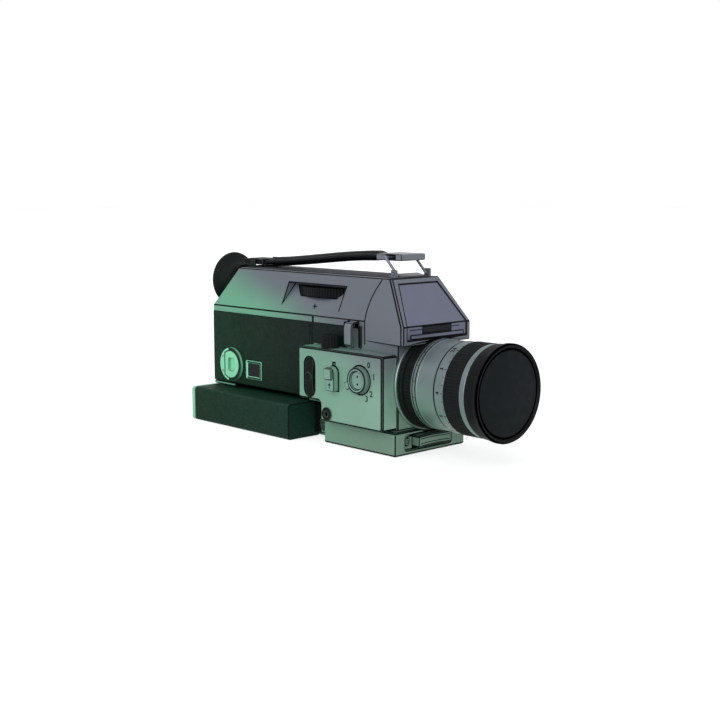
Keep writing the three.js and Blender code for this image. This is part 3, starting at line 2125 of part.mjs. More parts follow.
// Strap band, nearly flat, rising gently from its rear clip to its front one
function strapBand() {
  const [, frontZ] = bailTop();
  const front = -frontClipRear + strapGrip;
  const rear = -rearClipFront - strapGrip;
  const half = strapThick / 2;
  const course = (lift) =>
    new THREE.CubicBezierCurve(
      new THREE.Vector2(-rearClipFront, rearPivotHeight + lift),
      new THREE.Vector2(-rearClipFront * strapRearShare, rearPivotHeight + strapRise + lift),
      new THREE.Vector2(-rearClipFront * strapFrontShare, frontZ + lift),
      new THREE.Vector2(-frontClipRear, frontZ + lift),
    ).getPoints(cornerSteps * 4);
  const top = course(half);
  const bottom = course(-half).reverse();
  const points = [
    [rear, rearPivotHeight + half],
    ...top.map((p) => [p.x, p.y]),
    [front, frontZ + half],
    [front, frontZ - half],
    ...bottom.map((p) => [p.x, p.y]),
    [rear, rearPivotHeight - half],
  ];
  return sweep("y", outline(points), -strapHalf, strapHalf);
}

// Metal loop at the strap's rear, with the pin it turns on
function strapRearClip() {
  const half = rearClipThick / 2 + seatGap;
  const shape = roundedBox(
    -rearClipRear,
    -rearClipFront,
    rearPivotHeight - half,
    rearPivotHeight + half,
    half / 2,
  );
  const clip = sweep("y", shape, -rearClipHalf, rearClipHalf);
  const pocket = block(
    -rearClipFront - strapGrip - seatGap,
    -rearClipFront + overrun,
    -strapHalf - seatGap,
    strapHalf + seatGap,
    rearPivotHeight - strapThick / 2 - seatGap,
    rearPivotHeight + strapThick / 2 + seatGap,
  );
  const loop = block(
    -rearClipRear + rearLoopWall,
    -rearClipRear + rearLoopWall + rearLoopLong,
    -rearClipHalf + rearLoopWall,
    rearClipHalf - rearLoopWall,
    rearPivotHeight - half - overrun,
    rearPivotHeight + half + overrun,
  );
  const pinHalf = rearClipHalf + runGap + rearEarThick;
  const pin = rod("y", -rearPivotReach, rearPivotHeight, -pinHalf, pinHalf, rearPin);
  return fuse(cut(clip, pocket, loop), pin);
}

// Bracket at the roof's rear that the strap turns in
function rearBracket() {
  const low = roofHeight + stripProud + seatGap;
  const ears = rearClipHalf + runGap;
  const half = ears + rearEarThick;
  const plate = block(
    -rearPivotReach - rearEarHalf + seatGap,
    -rearPivotReach + rearEarHalf,
    -half,
    half,
    low,
    low + bailPlateThick,
  );
  const sides = [-1, 1].map((side) =>
    block(
      -rearPivotReach - rearEarHalf + seatGap,
      -rearPivotReach + rearEarHalf,
      Math.min(side * ears, side * half),
      Math.max(side * ears, side * half),
      low,
      rearPivotHeight + rearEarHalf,
    ),
  );
  const bore = rod(
    "y",
    -rearPivotReach,
    rearPivotHeight,
    -half - overrun,
    half + overrun,
    rearPin + hingePinFit,
  );
  return cut(fuse(plate, ...sides), bore);
}

// Grip shell with its knuckle, pivot tongue and battery bore
function gripShell() {
  const shape = roundedBox(-gripOut, -gripIn, 0, gripHeight, gripCorner);
  const shell = sweep("x", shape, -gripRear, -gripFront);
  const tongueIn = -gripIn - seatGap;
  const tongueOut = tongueIn - gripTongueThick;
  const tongue = fuse(
    rod(
      "y",
      -gripPivotReach,
      gripPivotHeight,
      tongueOut,
      tongueIn,
      gripTongueRadius,
      midSteps,
    ),
    block(
      -gripFront - overrun,
      -gripPivotReach,
      tongueOut,
      tongueIn,
      gripPivotHeight - gripTongueRadius,
      gripPivotHeight + gripTongueRadius,
    ),
  );
  const pivotBore = rod(
    "y",
    -gripPivotReach,
    gripPivotHeight,
    tongueOut - overrun,
    tongueIn + overrun,
    gripBoltRadius + gripBoltFit,
  );
  const bay = rod(
    "x",
    -(gripOut + gripIn) / 2,
    gripHeight / 2,
    -gripRear - overrun,
    -gripFront - cellWall,
    cellRadius + cellFit,
    midSteps,
  );
  const knuckle = block(
    -gripFront - overrun,
    -gripFront + gripKnuckleLong,
    -gripIn - gripKnuckleWide,
    -gripIn,
    gripKnuckleLow,
    gripKnuckleHigh,
  );
  return cut(fuse(shell, knuckle, tongue), pivotBore, bay);
}

// Shouldered bolt that the grip turns on
function gripBolt() {
  const tongueOut = -gripIn - seatGap - gripTongueThick;
  const headIn = tongueOut - runGap;
  const shaft = rod(
    "y",
    -gripPivotReach,
    gripPivotHeight,
    headIn - gripBoltHeadThick / 2,
    -nestHalf + gripBoltGrip,
    gripBoltRadius,
  );
  const head = rod(
    "y",
    -gripPivotReach,
    gripPivotHeight,
    headIn - gripBoltHeadThick,
    headIn,
    gripBoltHead,
    midSteps,
  );
  const slot = block(
    -gripPivotReach - gripBoltHead - overrun,
    -gripPivotReach + gripBoltHead + overrun,
    headIn - gripBoltHeadThick - overrun,
    headIn - gripBoltHeadThick + screwSlotDeep,
    gripPivotHeight - screwSlotWide,
    gripPivotHeight + screwSlotWide,
  );
  return cut(fuse(shaft, head), slot);
}

// Cover over the battery bay
function gripCap() {
  const front = -gripRear - runGap;
  const shape = roundedBox(-gripOut, -gripIn, 0, gripHeight, gripCorner);
  const plate = sweep("x", shape, front - gripCapThick, front);
  const hollow = rod(
    "x",
    -(gripOut + gripIn) / 2,
    gripHeight / 2,
    front - capHollow,
    front + overrun,
    cellRadius + cellFit,
    midSteps,
  );
  return cut(plate, hollow);
}

// One dry cell with its raised contact, counted from the front
function batteryCell(index) {
  const front = -gripFront - cellWall - seatGap - index * (cellLength + seatGap);
  const radius = cellRadius;
  const profile = [
    [front - cellLength, 0],
    [front - cellLength, radius],
    [front - cellNubRise, radius],
    [front - cellNubRise, cellNub],
    [front, cellNub],
    [front, 0],
  ];
  const cell = turned(profile, gripHeight / 2, smallSteps);
  return cell.translate([0, -(gripOut + gripIn) / 2, 0]);
}

// Finishes, one material for each piece
const finishes = {
  silver: { color: 0x8f9a98, roughness: 0.42, metalness: 0.55 },
  bright: { color: 0xb4bcba, roughness: 0.28, metalness: 0.85 },
  leather: { color: 0x20241f, roughness: 0.82, metalness: 0 },
  black: { color: 0x17191a, roughness: 0.5, metalness: 0.1 },
  rubber: { color: 0x141516, roughness: 0.9, metalness: 0 },
  darkGrey: { color: 0x4b5052, roughness: 0.6, metalness: 0.2 },
  glass: { color: 0x1c2a30, roughness: 0.08, metalness: 0 },
  brass: { color: 0xb08d4a, roughness: 0.35, metalness: 0.9 },
  cell: { color: 0x6a7076, roughness: 0.4, metalness: 0.4 },
};

// A named mesh of a solid in a finish
function piece(name, body, finish) {
  const mesh = body.getMesh();
  const geometry = new THREE.BufferGeometry();
  const width = mesh.numProp;
  const places = new Float32Array(mesh.numVert * 3);
  for (let i = 0; i < mesh.numVert; i += 1) {
    places.set(mesh.vertProperties.subarray(i * width, i * width + 3), i * 3);
  }
  geometry.setAttribute("position", new THREE.BufferAttribute(places, 3));
  geometry.setIndex(new THREE.BufferAttribute(mesh.triVerts, 1));
  geometry.computeVertexNormals();
  const made = new THREE.Mesh(geometry, new THREE.MeshStandardMaterial(finishes[finish]));
  made.name = name;
  return made;
}

// Body: casting, covers and front
function bodyGroup() {
  const group = new THREE.Group();
  group.add(
    piece("housing", housing(), "silver"),
    piece("front_bezel", frontBezel(), "silver"),
    piece("front_panel", frontPanel(), "silver"),
    piece("finder_window", finderWindow(), "glass"),
    piece("label_strip", labelStrip(), "silver"),
    piece("front_leather", frontLeather(), "leather"),
    piece("far_leather", farLeather(), "leather"),
    piece("side_inlay", sideInlay(), "black"),
    piece("slope_wheel", slopeWheel(), "black"),
  );
  return group;
}

// Base with what it holds
function baseGroup() {
  const group = new THREE.Group();
  group.add(
    piece("base_tray", baseTray(), "silver"),
    piece("trigger", trigger(), "bright"),
    piece("cable_socket", cableSocket(), "bright"),
    piece("tripod_bush", tripodBush(), "bright"),
  );
  screwPlaces().forEach((place, i) => {
    group.add(piece(`base_screw_${i + 1}`, baseScrew(place), "bright"));
  });
  return group;
}

// Film door, its trim and its latch
function doorGroup() {
  const group = new THREE.Group();
  group.add(
    piece("door_plate", doorPlate(), "silver"),
    piece("door_leather", doorLeather(), "leather"),
    piece("window_frame", windowFrame(), "bright"),
    piece("window_pane", windowPane(), "glass"),
    piece("latch_disc", latchDisc(), "bright"),
    piece("latch_handle", latchHandle(), "bright"),
    piece("door_hinge_pin", doorHingePin(), "bright"),
  );
  return group;
}

// What works in the film chamber
function chamberGroup() {
  const group = new THREE.Group();
  group.add(
    piece("gate_plate", gatePlate(), "bright"),
    piece("drive_spindle", driveSpindle(), "black"),
    piece("cartridge_spring", cartridgeSpring(), "bright"),
  );
  return group;
}

// Side housing with its controls
function controlGroup() {
  const group = new THREE.Group();
  group.add(
    piece("control_housing", controlHousing(), "silver"),
    piece("rocker_liner", rockerLiner(), "black"),
    piece("zoom_rocker", zoomRocker(), "black"),
    piece("slide_lever", slideLever(), "bright"),
    piece("dial_ring", dialRing(), "bright"),
    piece("dial_hub", dialHub(), "bright"),
    piece("side_knob", sideKnob(), "black"),
    piece("clip_lever", clipLever(), "bright"),
    piece("jack_socket", jackSocket(), "black"),
  );
  return group;
}

// Lens
function lensGroup() {
  const group = new THREE.Group();
  group.add(
    piece("lens_flange", lensFlange(), "bright"),
    piece("lens_barrel", lensBarrel(), "silver"),
    piece("zoom_ring", zoomRing(), "black"),
    piece("scale_ring", scaleRing(), "silver"),
    piece("focus_ring", focusRing(), "black"),
    piece("front_ring", frontRing(), "silver"),
    piece("filter_ring", filterRing(), "black"),
    piece("front_glass", frontGlass(), "glass"),
    piece("lens_cap", lensCap(), "black"),
  );
  return group;
}

// Eyepiece
function eyepieceGroup() {
  const group = new THREE.Group();
  group.add(
    piece("eyepiece_tube", eyepieceTube(), "black"),
    piece("eyepiece_glass", eyepieceGlass(), "glass"),
    piece("diopter_ring", diopterRing(), "black"),
    piece("eyecup", eyecup(), "rubber"),
  );
  return group;
}

// Strap and its fittings
function strapGroup() {
  const group = new THREE.Group();
  group.add(
    piece("roof_strip", roofStrip(), "darkGrey"),
    piece("bail_bracket", bailBracket(), "bright"),
    piece("strap_bail", strapBail(), "bright"),
    piece("strap_front_clip", strapFrontClip(), "bright"),
    piece("strap_band", strapBand(), "rubber"),
    piece("strap_rear_clip", strapRearClip(), "bright"),
    piece("rear_bracket", rearBracket(), "bright"),
  );
  return group;
}

// Folding grip
function gripGroup() {
  const group = new THREE.Group();
  group.add(
    piece("grip_shell", gripShell(), "leather"),
    piece("grip_bolt", gripBolt(), "bright"),
    piece("grip_cap", gripCap(), "bright"),
  );
  for (let i = 0; i < cellCount; i += 1) {
    group.add(piece(`battery_${i + 1}`, batteryCell(i), "cell"));
  }
  return group;
}

const camera = new THREE.Group();
camera.name = "cine_camera";
camera.add(
  bodyGroup(),
  baseGroup(),
  doorGroup(),
  chamberGroup(),
  controlGroup(),
  lensGroup(),
  eyepieceGroup(),
  strapGroup(),
  gripGroup(),
);

export default camera;
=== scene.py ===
# The looks of a hand-held cine camera: lacquer on light-alloy castings, grained leatherette,
# black anodised and rubber rings, and bright small fittings, all under a painted sheen.
import json
import math

import bmesh
import bpy
from mathutils import Matrix, Vector, geometry


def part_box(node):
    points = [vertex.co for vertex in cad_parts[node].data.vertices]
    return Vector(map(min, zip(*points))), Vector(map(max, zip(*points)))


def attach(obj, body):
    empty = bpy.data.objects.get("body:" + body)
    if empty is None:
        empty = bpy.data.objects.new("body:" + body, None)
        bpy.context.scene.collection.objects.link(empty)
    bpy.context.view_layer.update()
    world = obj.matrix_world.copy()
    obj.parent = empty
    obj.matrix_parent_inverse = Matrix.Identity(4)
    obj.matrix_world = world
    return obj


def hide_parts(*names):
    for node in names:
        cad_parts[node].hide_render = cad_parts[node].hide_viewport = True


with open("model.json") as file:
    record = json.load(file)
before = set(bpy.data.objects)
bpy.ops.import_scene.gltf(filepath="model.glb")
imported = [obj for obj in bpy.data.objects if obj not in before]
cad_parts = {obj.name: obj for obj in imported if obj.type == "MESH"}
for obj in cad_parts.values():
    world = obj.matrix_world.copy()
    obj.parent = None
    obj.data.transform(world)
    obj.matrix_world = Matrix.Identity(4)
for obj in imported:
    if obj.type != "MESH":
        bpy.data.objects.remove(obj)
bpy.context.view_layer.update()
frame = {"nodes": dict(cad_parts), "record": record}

MM = 0.001
NODES = frame["nodes"]
BODY_OF = {
    node: body
    for body, nodes in frame["record"]["behaviour"]["bodies"].items()
    for node in nodes
}


def spot(node):
    """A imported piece's lowest and highest corners in millimetres."""
    return [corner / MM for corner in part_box(node)]


def middle_of(node):
    """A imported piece's middle along X and along Z, in millimetres."""
    low, high = spot(node)
    return (low.x + high.x) / 2, (low.z + high.z) / 2


def stepped(first, last, count):
    """Even steps from one value to another, with both of them."""
    return [first + (last - first) * i / count for i in range(count + 1)]


# Places that several pieces share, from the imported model
CAP_LOW, CAP_HIGH = spot("lens_cap")
LENS_AXIS = (0.0, (CAP_LOW.z + CAP_HIGH.z) / 2)
CUP_LOW, CUP_HIGH = spot("eyecup")
EYE_AXIS = (0.0, (CUP_LOW.z + CUP_HIGH.z) / 2)
DOOR_LOW, DOOR_HIGH = spot("door_plate")
ROOF_HEIGHT = spot("housing")[1].z
SIDE = -DOOR_LOW.y
SHOULDER = DOOR_HIGH.z + 0.3
# How far the roof slope leans in from the shoulder to the top, and how much in a millimetre
ROOF_LEAN = 5.8
ROOF_RATE = ROOF_LEAN / (ROOF_HEIGHT - SHOULDER)

# Camera

CAMERA_TURN = 46.1
CAMERA_RISE = 7.8
CAMERA_DISTANCE = 800.8
CAMERA_TARGET = (-40.0, 0.0, 55.0)
CAMERA_LENS = 61.03
CAMERA_SENSOR = 36.0
CAMERA_SHIFT = (-0.0168, -0.0057)
CAMERA_REACH = (0.01, 50.0)


def placed(name, data):
    """A new object in the scene."""
    made = bpy.data.objects.new(name, data)
    bpy.context.scene.collection.objects.link(made)
    return made


def place_camera():
    """Stands the camera where the photograph was taken from."""
    turn, rise = math.radians(CAMERA_TURN), math.radians(CAMERA_RISE)
    flat = math.cos(rise)
    back = Vector((math.sin(turn) * flat, -math.cos(turn) * flat, math.sin(rise)))
    data = bpy.data.cameras.new("camera")
    data.lens = CAMERA_LENS
    data.sensor_width = CAMERA_SENSOR
    data.shift_x, data.shift_y = CAMERA_SHIFT
    data.clip_start, data.clip_end = CAMERA_REACH
    camera = placed("camera", data)
    target = Vector(CAMERA_TARGET) * MM
    camera.location = target + back * CAMERA_DISTANCE * MM
    camera.rotation_euler = (-back).to_track_quat("-Z", "Y").to_euler()
    bpy.context.scene.camera = camera


# Materials

# The painted sheen leans green low and at the rear, violet grey high and at the front, and
# warm grey at the front foot. Each share grows along a direction in the XZ plane, between
# two places in millimetres.
VIOLET_ALONG, VIOLET_SPAN = (0.31, 0.0, 1.0), (36.0, 70.0)
WARM_ALONG, WARM_SPAN = (1.0, 0.0, -0.3), (-140.0, 12.0)
# The painted sheen on the leather loses its green earlier, between the latch and the control
# housing.
LEATHER_ALONG, LEATHER_SPAN = (1.0, 0.0, 0.3), (-165.0, -50.0)
# Nearly all noise lies in this span, which soft patches spread over their whole swing.
NOISE_SPAN = (0.3, 0.7)
PATCH_DETAIL = 3.0
# Sizes of the patterns in millimetres. A pixel of the main render is about 0.7 mm wide, so
# flake, brushing, tool marks, vinyl pebbles and grit are drawn coarser than they are: real
# flake and grit are below 0.1 mm, brushing and tool marks about 0.1 mm, pebbles 0.6 mm.
PEEL, FLAKE = 1.2, 0.5
TOOL_MARKS = 0.35
PEBBLE, STRAP_PEBBLE = 1.25, 0.8
GRIT, COARSE_GRIT, VINYL_GRIT, CAP_GRIT = 0.4, 0.7, 0.8, 0.5
# Brushed lines 0.5 mm apart and about 22 mm long, as steps of noise in a metre
BRUSHING = (2000.0, 45.0, 2000.0)
# How dark the painted shade in the creases between pebbles is and how light the painted
# highlight on their tops, as shares of the colour, and how far from a crease a pebble
# reaches its full height
CREASE_SHADE, PEBBLE_TOP_HIGHLIGHT = 0.62, 1.06
PEBBLE_SHOULDER = 0.32


def linear(code):
    """A colour given as sRGB hex, in linear light."""
    steps = [int(code[i : i + 2], 16) / 255 for i in (0, 2, 4)]
    return [s / 12.92 if s <= 0.04045 else ((s + 0.055) / 1.055) ** 2.4 for s in steps] + [1.0]


def put(tree, kind, values=None, links=None, **settings):
    """Adds a node with its settings, its socket values and its links."""
    made = tree.nodes.new(kind)
    for key, value in settings.items():
        setattr(made, key, value)
    for key, value in (values or {}).items():
        made.inputs[key].default_value = value
    for key, source in (links or {}).items():
        tree.links.new(source, made.inputs[key])
    return made


def start(name, **values):
    """A new material with its shader, whose sockets take the given values."""
    made = bpy.data.materials.new(name)
    made.use_nodes = True
    tree = made.node_tree
    tree.nodes.clear()
    sockets = {key.replace("_", " "): value for key, value in values.items()}
    shader = put(tree, "ShaderNodeBsdfPrincipled", sockets)
    put(tree, "ShaderNodeOutputMaterial", links={"Surface": shader.outputs[0]})
    place = put(tree, "ShaderNodeTexCoord").outputs["Object"]
    return made, tree, shader, place


def ranged(tree, value, span, ends=(0.0, 1.0), kind="LINEAR"):
    """A value carried from one span to another and held at the ends."""
    values = {"From Min": span[0], "From Max": span[1], "To Min": ends[0], "To Max": ends[1]}
    links = {"Value": value}
    made = put(tree, "ShaderNodeMapRange", values, links, interpolation_type=kind)
    return made.outputs["Result"]


def share_along(tree, place, along, span):
    """A share that grows from 0 to 1 along a direction, between two places."""
    scaled = {1: tuple(step / MM for step in along)}
    reached = put(tree, "ShaderNodeVectorMath", scaled, {0: place}, operation="DOT_PRODUCT")
    return ranged(tree, reached.outputs["Value"], span, kind="SMOOTHSTEP")


def drifted(tree, place, rear, front, foot=None, along=WARM_ALONG, span=WARM_SPAN):
    """The painted sheen, drifting from the rear's colour to the front's by way of the foot's."""
    colours = {6: linear(rear), 7: linear(foot or rear)}
    warm = share_along(tree, place, along, span)
    low = put(tree, "ShaderNodeMix", colours, {0: warm}, data_type="RGBA")
    violet = share_along(tree, place, VIOLET_ALONG, VIOLET_SPAN)
    links = {0: violet, 6: low.outputs[2]}
    return put(tree, "ShaderNodeMix", {7: linear(front)}, links, data_type="RGBA").outputs[2]


def grains(tree, place, size, detail=2.0):
    """A random pattern of a size in millimetres."""
    values = {"Scale": 1 / (size * MM), "Detail": detail}
    return put(tree, "ShaderNodeTexNoise", values, {"Vector": place}).outputs["Fac"]


def patches(tree, place, size, low, high):
    """A value that wanders between two bounds in soft patches of a size in millimetres."""
    return ranged(tree, grains(tree, place, size, PATCH_DETAIL), NOISE_SPAN, (low, high))


def shaded(tree, colour, scale):
    """A colour made lighter or darker by a scale."""
    links = {0: colour, "Scale": scale}
    return put(tree, "ShaderNodeVectorMath", None, links, operation="SCALE").outputs["Vector"]


def varied(tree, place, colour, size, depth):
    """The colour, lighter and darker by a share in soft patches of a size in millimetres."""
    return shaded(tree, colour, patches(tree, place, size, 1 - depth, 1 + depth))


def dress(tree, shader, colour, roughness, heights=None, depth=0.0, strength=0.0):
    """Links colour and roughness, and a bump whose full swing is a depth in millimetres."""
    tree.links.new(colour, shader.inputs["Base Color"])
    tree.links.new(roughness, shader.inputs["Roughness"])
    if heights:
        values = {"Strength": strength, "Distance": depth * MM}
        bump = put(tree, "ShaderNodeBump", values, {"Height": heights})
        tree.links.new(bump.outputs["Normal"], shader.inputs["Normal"])


def lacquer_with_painted_sheen(name, rear, front, foot):
    """Sprayed satin lacquer under the painted sheen: a soft gloss, a faint orange peel, and
    flake that shows as a fine speckle."""
    made, tree, shader, place = start(
        name, Metallic=0.15, Coat_Weight=0.12, Coat_Roughness=0.3, Specular_IOR_Level=0.35
    )
    colour = varied(tree, place, drifted(tree, place, rear, front, foot), FLAKE, 0.035)
    colour = varied(tree, place, colour, 22.0, 0.03)
    rough = patches(tree, place, 9.0, 0.37, 0.48)
    dress(tree, shader, colour, rough, grains(tree, place, PEEL), 0.03, 0.25)
    return made


def brushed_sheet(name, rear, front):
    """Brushed and lacquered sheet: fine lines along Y under a thin clear coat."""
    made, tree, shader, place = start(
        name, Metallic=0.3, Coat_Weight=0.08, Coat_Roughness=0.3, Specular_IOR_Level=0.35
    )
    colour = varied(tree, place, drifted(tree, place, rear, front), 14.0, 0.03)
    stretched = put(tree, "ShaderNodeMapping", {"Scale": BRUSHING}, {"Vector": place})
    values = {"Scale": 1.0, "Detail": 3.0}
    lines = put(tree, "ShaderNodeTexNoise", values, {"Vector": stretched.outputs[0]})
    rough = patches(tree, place, 6.0, 0.36, 0.46)
    dress(tree, shader, colour, rough, lines.outputs["Fac"], 0.02, 0.3)
    return made


def turned_metal(name, rear, front, foot, roughness):
    """Anodised turned aluminium: fine tool marks run round the lens axis."""
    made, tree, shader, place = start(name, Metallic=0.5, Specular_IOR_Level=0.35)
    colour = varied(tree, place, drifted(tree, place, rear, front, foot), 18.0, 0.03)
    along = put(tree, "ShaderNodeSeparateXYZ", None, {0: place})
    values = {"Scale": 1 / (TOOL_MARKS * MM), "Detail": 2.0}
    links = {"W": along.outputs["X"]}
    lines = put(tree, "ShaderNodeTexNoise", values, links, noise_dimensions="1D")
    rough = patches(tree, place, 7.0, roughness - 0.04, roughness + 0.05)
    dress(tree, shader, colour, rough, lines.outputs["Fac"], 0.015, 0.35)
    return made


def plated(name, rear, front, foot, roughness, metallic):
    """Plated or anodised metal: a clear even gloss with faint wipe marks."""
    made, tree, shader, place = start(name, Metallic=metallic, Specular_IOR_Level=0.4)
    colour = varied(tree, place, drifted(tree, place, rear, front, foot), 11.0, 0.035)
    dress(tree, shader, colour, patches(tree, place, 7.0, roughness - 0.03, roughness + 0.05))
    return made


def leatherette(name, rear, front, foot, pebble=PEBBLE):
    """Embossed vinyl cloth: rounded pebbles with painted shade in the creases between them and a
    painted highlight on their tops, on a soft satin.
    """
    made, tree, shader, place = start(name, Specular_IOR_Level=0.1)
    values = {"Scale": 1 / (pebble * MM), "Randomness": 0.9}
    links = {"Vector": place}
    cells = put(tree, "ShaderNodeTexVoronoi", values, links, feature="DISTANCE_TO_EDGE")
    span = (0.0, PEBBLE_SHOULDER)
    heights = ranged(tree, cells.outputs["Distance"], span, kind="SMOOTHSTEP")
    # Painted shade in the creases and a painted highlight on the pebbles' tops
    shade = ranged(tree, heights, (0.0, 1.0), (CREASE_SHADE, PEBBLE_TOP_HIGHLIGHT))
    sheen_tinted = drifted(tree, place, rear, front, foot, LEATHER_ALONG, LEATHER_SPAN)
    colour = varied(tree, place, shaded(tree, sheen_tinted, shade), 16.0, 0.08)
    dress(tree, shader, colour, patches(tree, place, 5.0, 0.5, 0.64), heights, 0.14, 0.7)
    return made


def black_finish(name, rear, front, roughness, grit=GRIT, specular=0.08):
    """Moulded, rubber, painted or anodised black: even and low in gloss, with a fine grit."""
    made, tree, shader, place = start(name, Specular_IOR_Level=specular)
    colour = varied(tree, place, drifted(tree, place, rear, front), 7.0, 0.08)
    rough = patches(tree, place, 5.0, roughness - 0.05, roughness + 0.07)
    dress(tree, shader, colour, rough, grains(tree, place, grit), 0.03, 0.3)
    return made


def dark_glass(name, body):
    """Dark coated window or lens glass with a polished face."""
    made, tree, shader, place = start(name, IOR=1.52, Specular_IOR_Level=0.09)
    colour = varied(tree, place, drifted(tree, place, body, body), 30.0, 0.05)
    dress(tree, shader, colour, patches(tree, place, 10.0, 0.06, 0.09))
    return made


# Each finish's rear, front and foot colours carry the painted sheen.
# Lacquer on castings, a lighter batch of it on the control housing, and the dark primer that
# shows where edges are rubbed
LACQUER = lacquer_with_painted_sheen("lacquer_with_painted_sheen", "63A384", "5F656E", "6C8A77")
CONTROL_LACQUER = lacquer_with_painted_sheen("light_lacquer_with_painted_sheen", "5B977B", "666C75", "80A592")
PRIMER = black_finish("dark_primer_at_edges", "0A1410", "0D0F11", 0.6)
PANEL = brushed_sheet("brushed_lacquered_sheet", "65A585", "606477")
# Vinyl over the body and door, the grip's, painted lighter and greener towards its front as
# painted light over the shade there, and the pressed edges of both, which show as a dark
# outline; and the strap's softer hide with its pale thread
LEATHER = leatherette("embossed_vinyl_leatherette", "0F3221", "10191A", "101E19")
GRIP_VINYL_PAINTED_LIGHT = leatherette("grip_vinyl_painted_lighter_at_front", "0F3221", "10191A", "15362B")
LEATHER_FOLD = leatherette("vinyl_pressed_at_edges", "06100B", "070A09", "070B09")
STRAP_HIDE = leatherette("padded_strap_leather", "060B08", "06090A", "060A08", STRAP_PEBBLE)
THREAD = black_finish("waxed_thread", "2F3B36", "383E41", 0.6)
# Aluminium of the lens
SLEEVE = turned_metal("turned_anodised_aluminium", "68A98A", "667174", "6B8A7D", 0.36)
# Plated small fittings and the shadowed steps round their edges, the anodised end plates and
# bare steel
BRIGHT = plated("nickel_plated_brass", "84D9AE", "70757D", "7C9F8D", 0.36, 0.3)
BRIGHT_EDGE = plated("shadowed_plated_edge", "0C1712", "101314", "0F1512", 0.45, 0.0)
SATIN = plated("satin_plated_steel", "6FA88C", "696E77", "76968A", 0.36, 0.3)
END_PLATE = plated("anodised_plate", "84C7A5", "70747F", "76917F", 0.38, 0.3)
STEEL = plated("bright_steel", "8FA59B", "9B9FA3", "93A09A", 0.24, 0.9)
JACKET = plated("steel_cell_jacket", "4D5B56", "4F555A", "4F5653", 0.35, 0.5)
# Blacks: rings, rubber, mouldings and their edges, lighter with wear and a painted highlight,
# the cap's grained face, the roof's vinyl, the film chamber, paint, and a dead black that
# paints the shade in deep grooves and gaps and also draws fine black lines
BLACK_RING = black_finish("black_anodised_aluminium", "0A100D", "0B0E0F", 0.4)
BLACK_RUBBER = black_finish("moulded_black_rubber", "121815", "131617", 0.6, COARSE_GRIT)
BLACK_PLASTIC = black_finish("moulded_black_abs", "090E0C", "0A0C0D", 0.5)
# Edges of black parts, lighter partly with wear and partly as a painted highlight
BLACK_EDGE = black_finish("black_edges_worn_and_painted_highlight", "2F3E37", "343A3D", 0.45)
CAP_FACE = black_finish("grained_cap_face", "121716", "13171A", 0.62, CAP_GRIT)
ROOF_SHEET = black_finish("grey_vinyl_strip", "38493F", "3D4148", 0.6, VINYL_GRIT)
CHAMBER_BLACK = black_finish("matt_black_chamber", "0C0F0E", "0D0F10", 0.75, CAP_GRIT)
PAINT = black_finish("black_paint_fill", "050706", "060707", 0.6)
GROOVE_SHADE_AND_LINES = black_finish("painted_groove_shade_and_black_lines", "010201", "010101", 0.85, specular=0.0)
GLASS = dark_glass("dark_coated_glass", "111718")

# Making pieces

# Steps round a plain turned piece and round each rib, and how square the ribs are
ROUND_STEPS, RIB_STEPS = 160, 8
RIB_SQUARE = 1.4
# Edges sharper than the first angle in degrees stay sharp. Faces that meet at less than the
# second are one, as are corners closer than this in metres.
SHARP_ANGLE, FLAT_ANGLE = 32.0, 0.5
SAME_CORNER = 2e-6
# How far paint stands out and how deep painted rings reach into their surface, how much
# bolder painted numbers are, and a typeface's capital height as a share of its size
PAINT_THICK, PAINT_ROOT = 0.05, 0.1
NUMBER_BOLD = 0.12
CAPITAL_SHARE = 0.7


def tidy(mesh):
    """Smooth shading that keeps sharp edges sharp."""
    mesh.polygons.foreach_set("use_smooth", [True] * len(mesh.polygons))
    mesh.set_sharp_from_angle(angle=math.radians(SHARP_ANGLE))
    mesh.update()


def shown(name, mesh, finishes, node, stands_for=()):
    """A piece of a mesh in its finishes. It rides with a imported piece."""
    piece = placed(name, mesh)
    picked = [face.material_index for face in mesh.polygons]
    mesh.materials.clear()
    for finish in finishes:
        mesh.materials.append(finish)
    mesh.polygons.foreach_set("material_index", picked)
    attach(piece, BODY_OF[node])
    if stands_for:
        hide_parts(*stands_for)
    return piece


def worked_in(holder):
    """The mesh of a curve or piece with its modifiers worked in. The holder is removed."""
    bpy.context.view_layer.update()
    graph = bpy.context.evaluated_depsgraph_get()
    mesh = bpy.data.meshes.new_from_object(holder.evaluated_get(graph))
    bpy.data.objects.remove(holder)
    return mesh


def freed(name, work):
    """A mesh of worked geometry, which is freed."""
    mesh = bpy.data.meshes.new(name)
    work.to_mesh(mesh)
    work.free()
    return mesh


def as_mesh(name, work):
    """A mesh from worked geometry, with its faces turned outwards."""
    bmesh.ops.recalc_face_normals(work, faces=work.faces)
    mesh = freed(name, work)
    tidy(mesh)
    return mesh


def lofted(rows, capped=True):
    """Walls through closed rows of points in millimetres, and the rows of their corners."""
    work = bmesh.new()
    rings = [[work.verts.new(Vector(point) * MM) for point in row] for row in rows]
    for one, two in zip(rings, rings[1:]):
        for i in range(len(one)):
            j = (i + 1) % len(one)
            work.faces.new((one[i], one[j], two[j], two[i]))
    if capped:
        work.faces.new(rings[0])
        work.faces.new(rings[-1][::-1])
    return work, rings


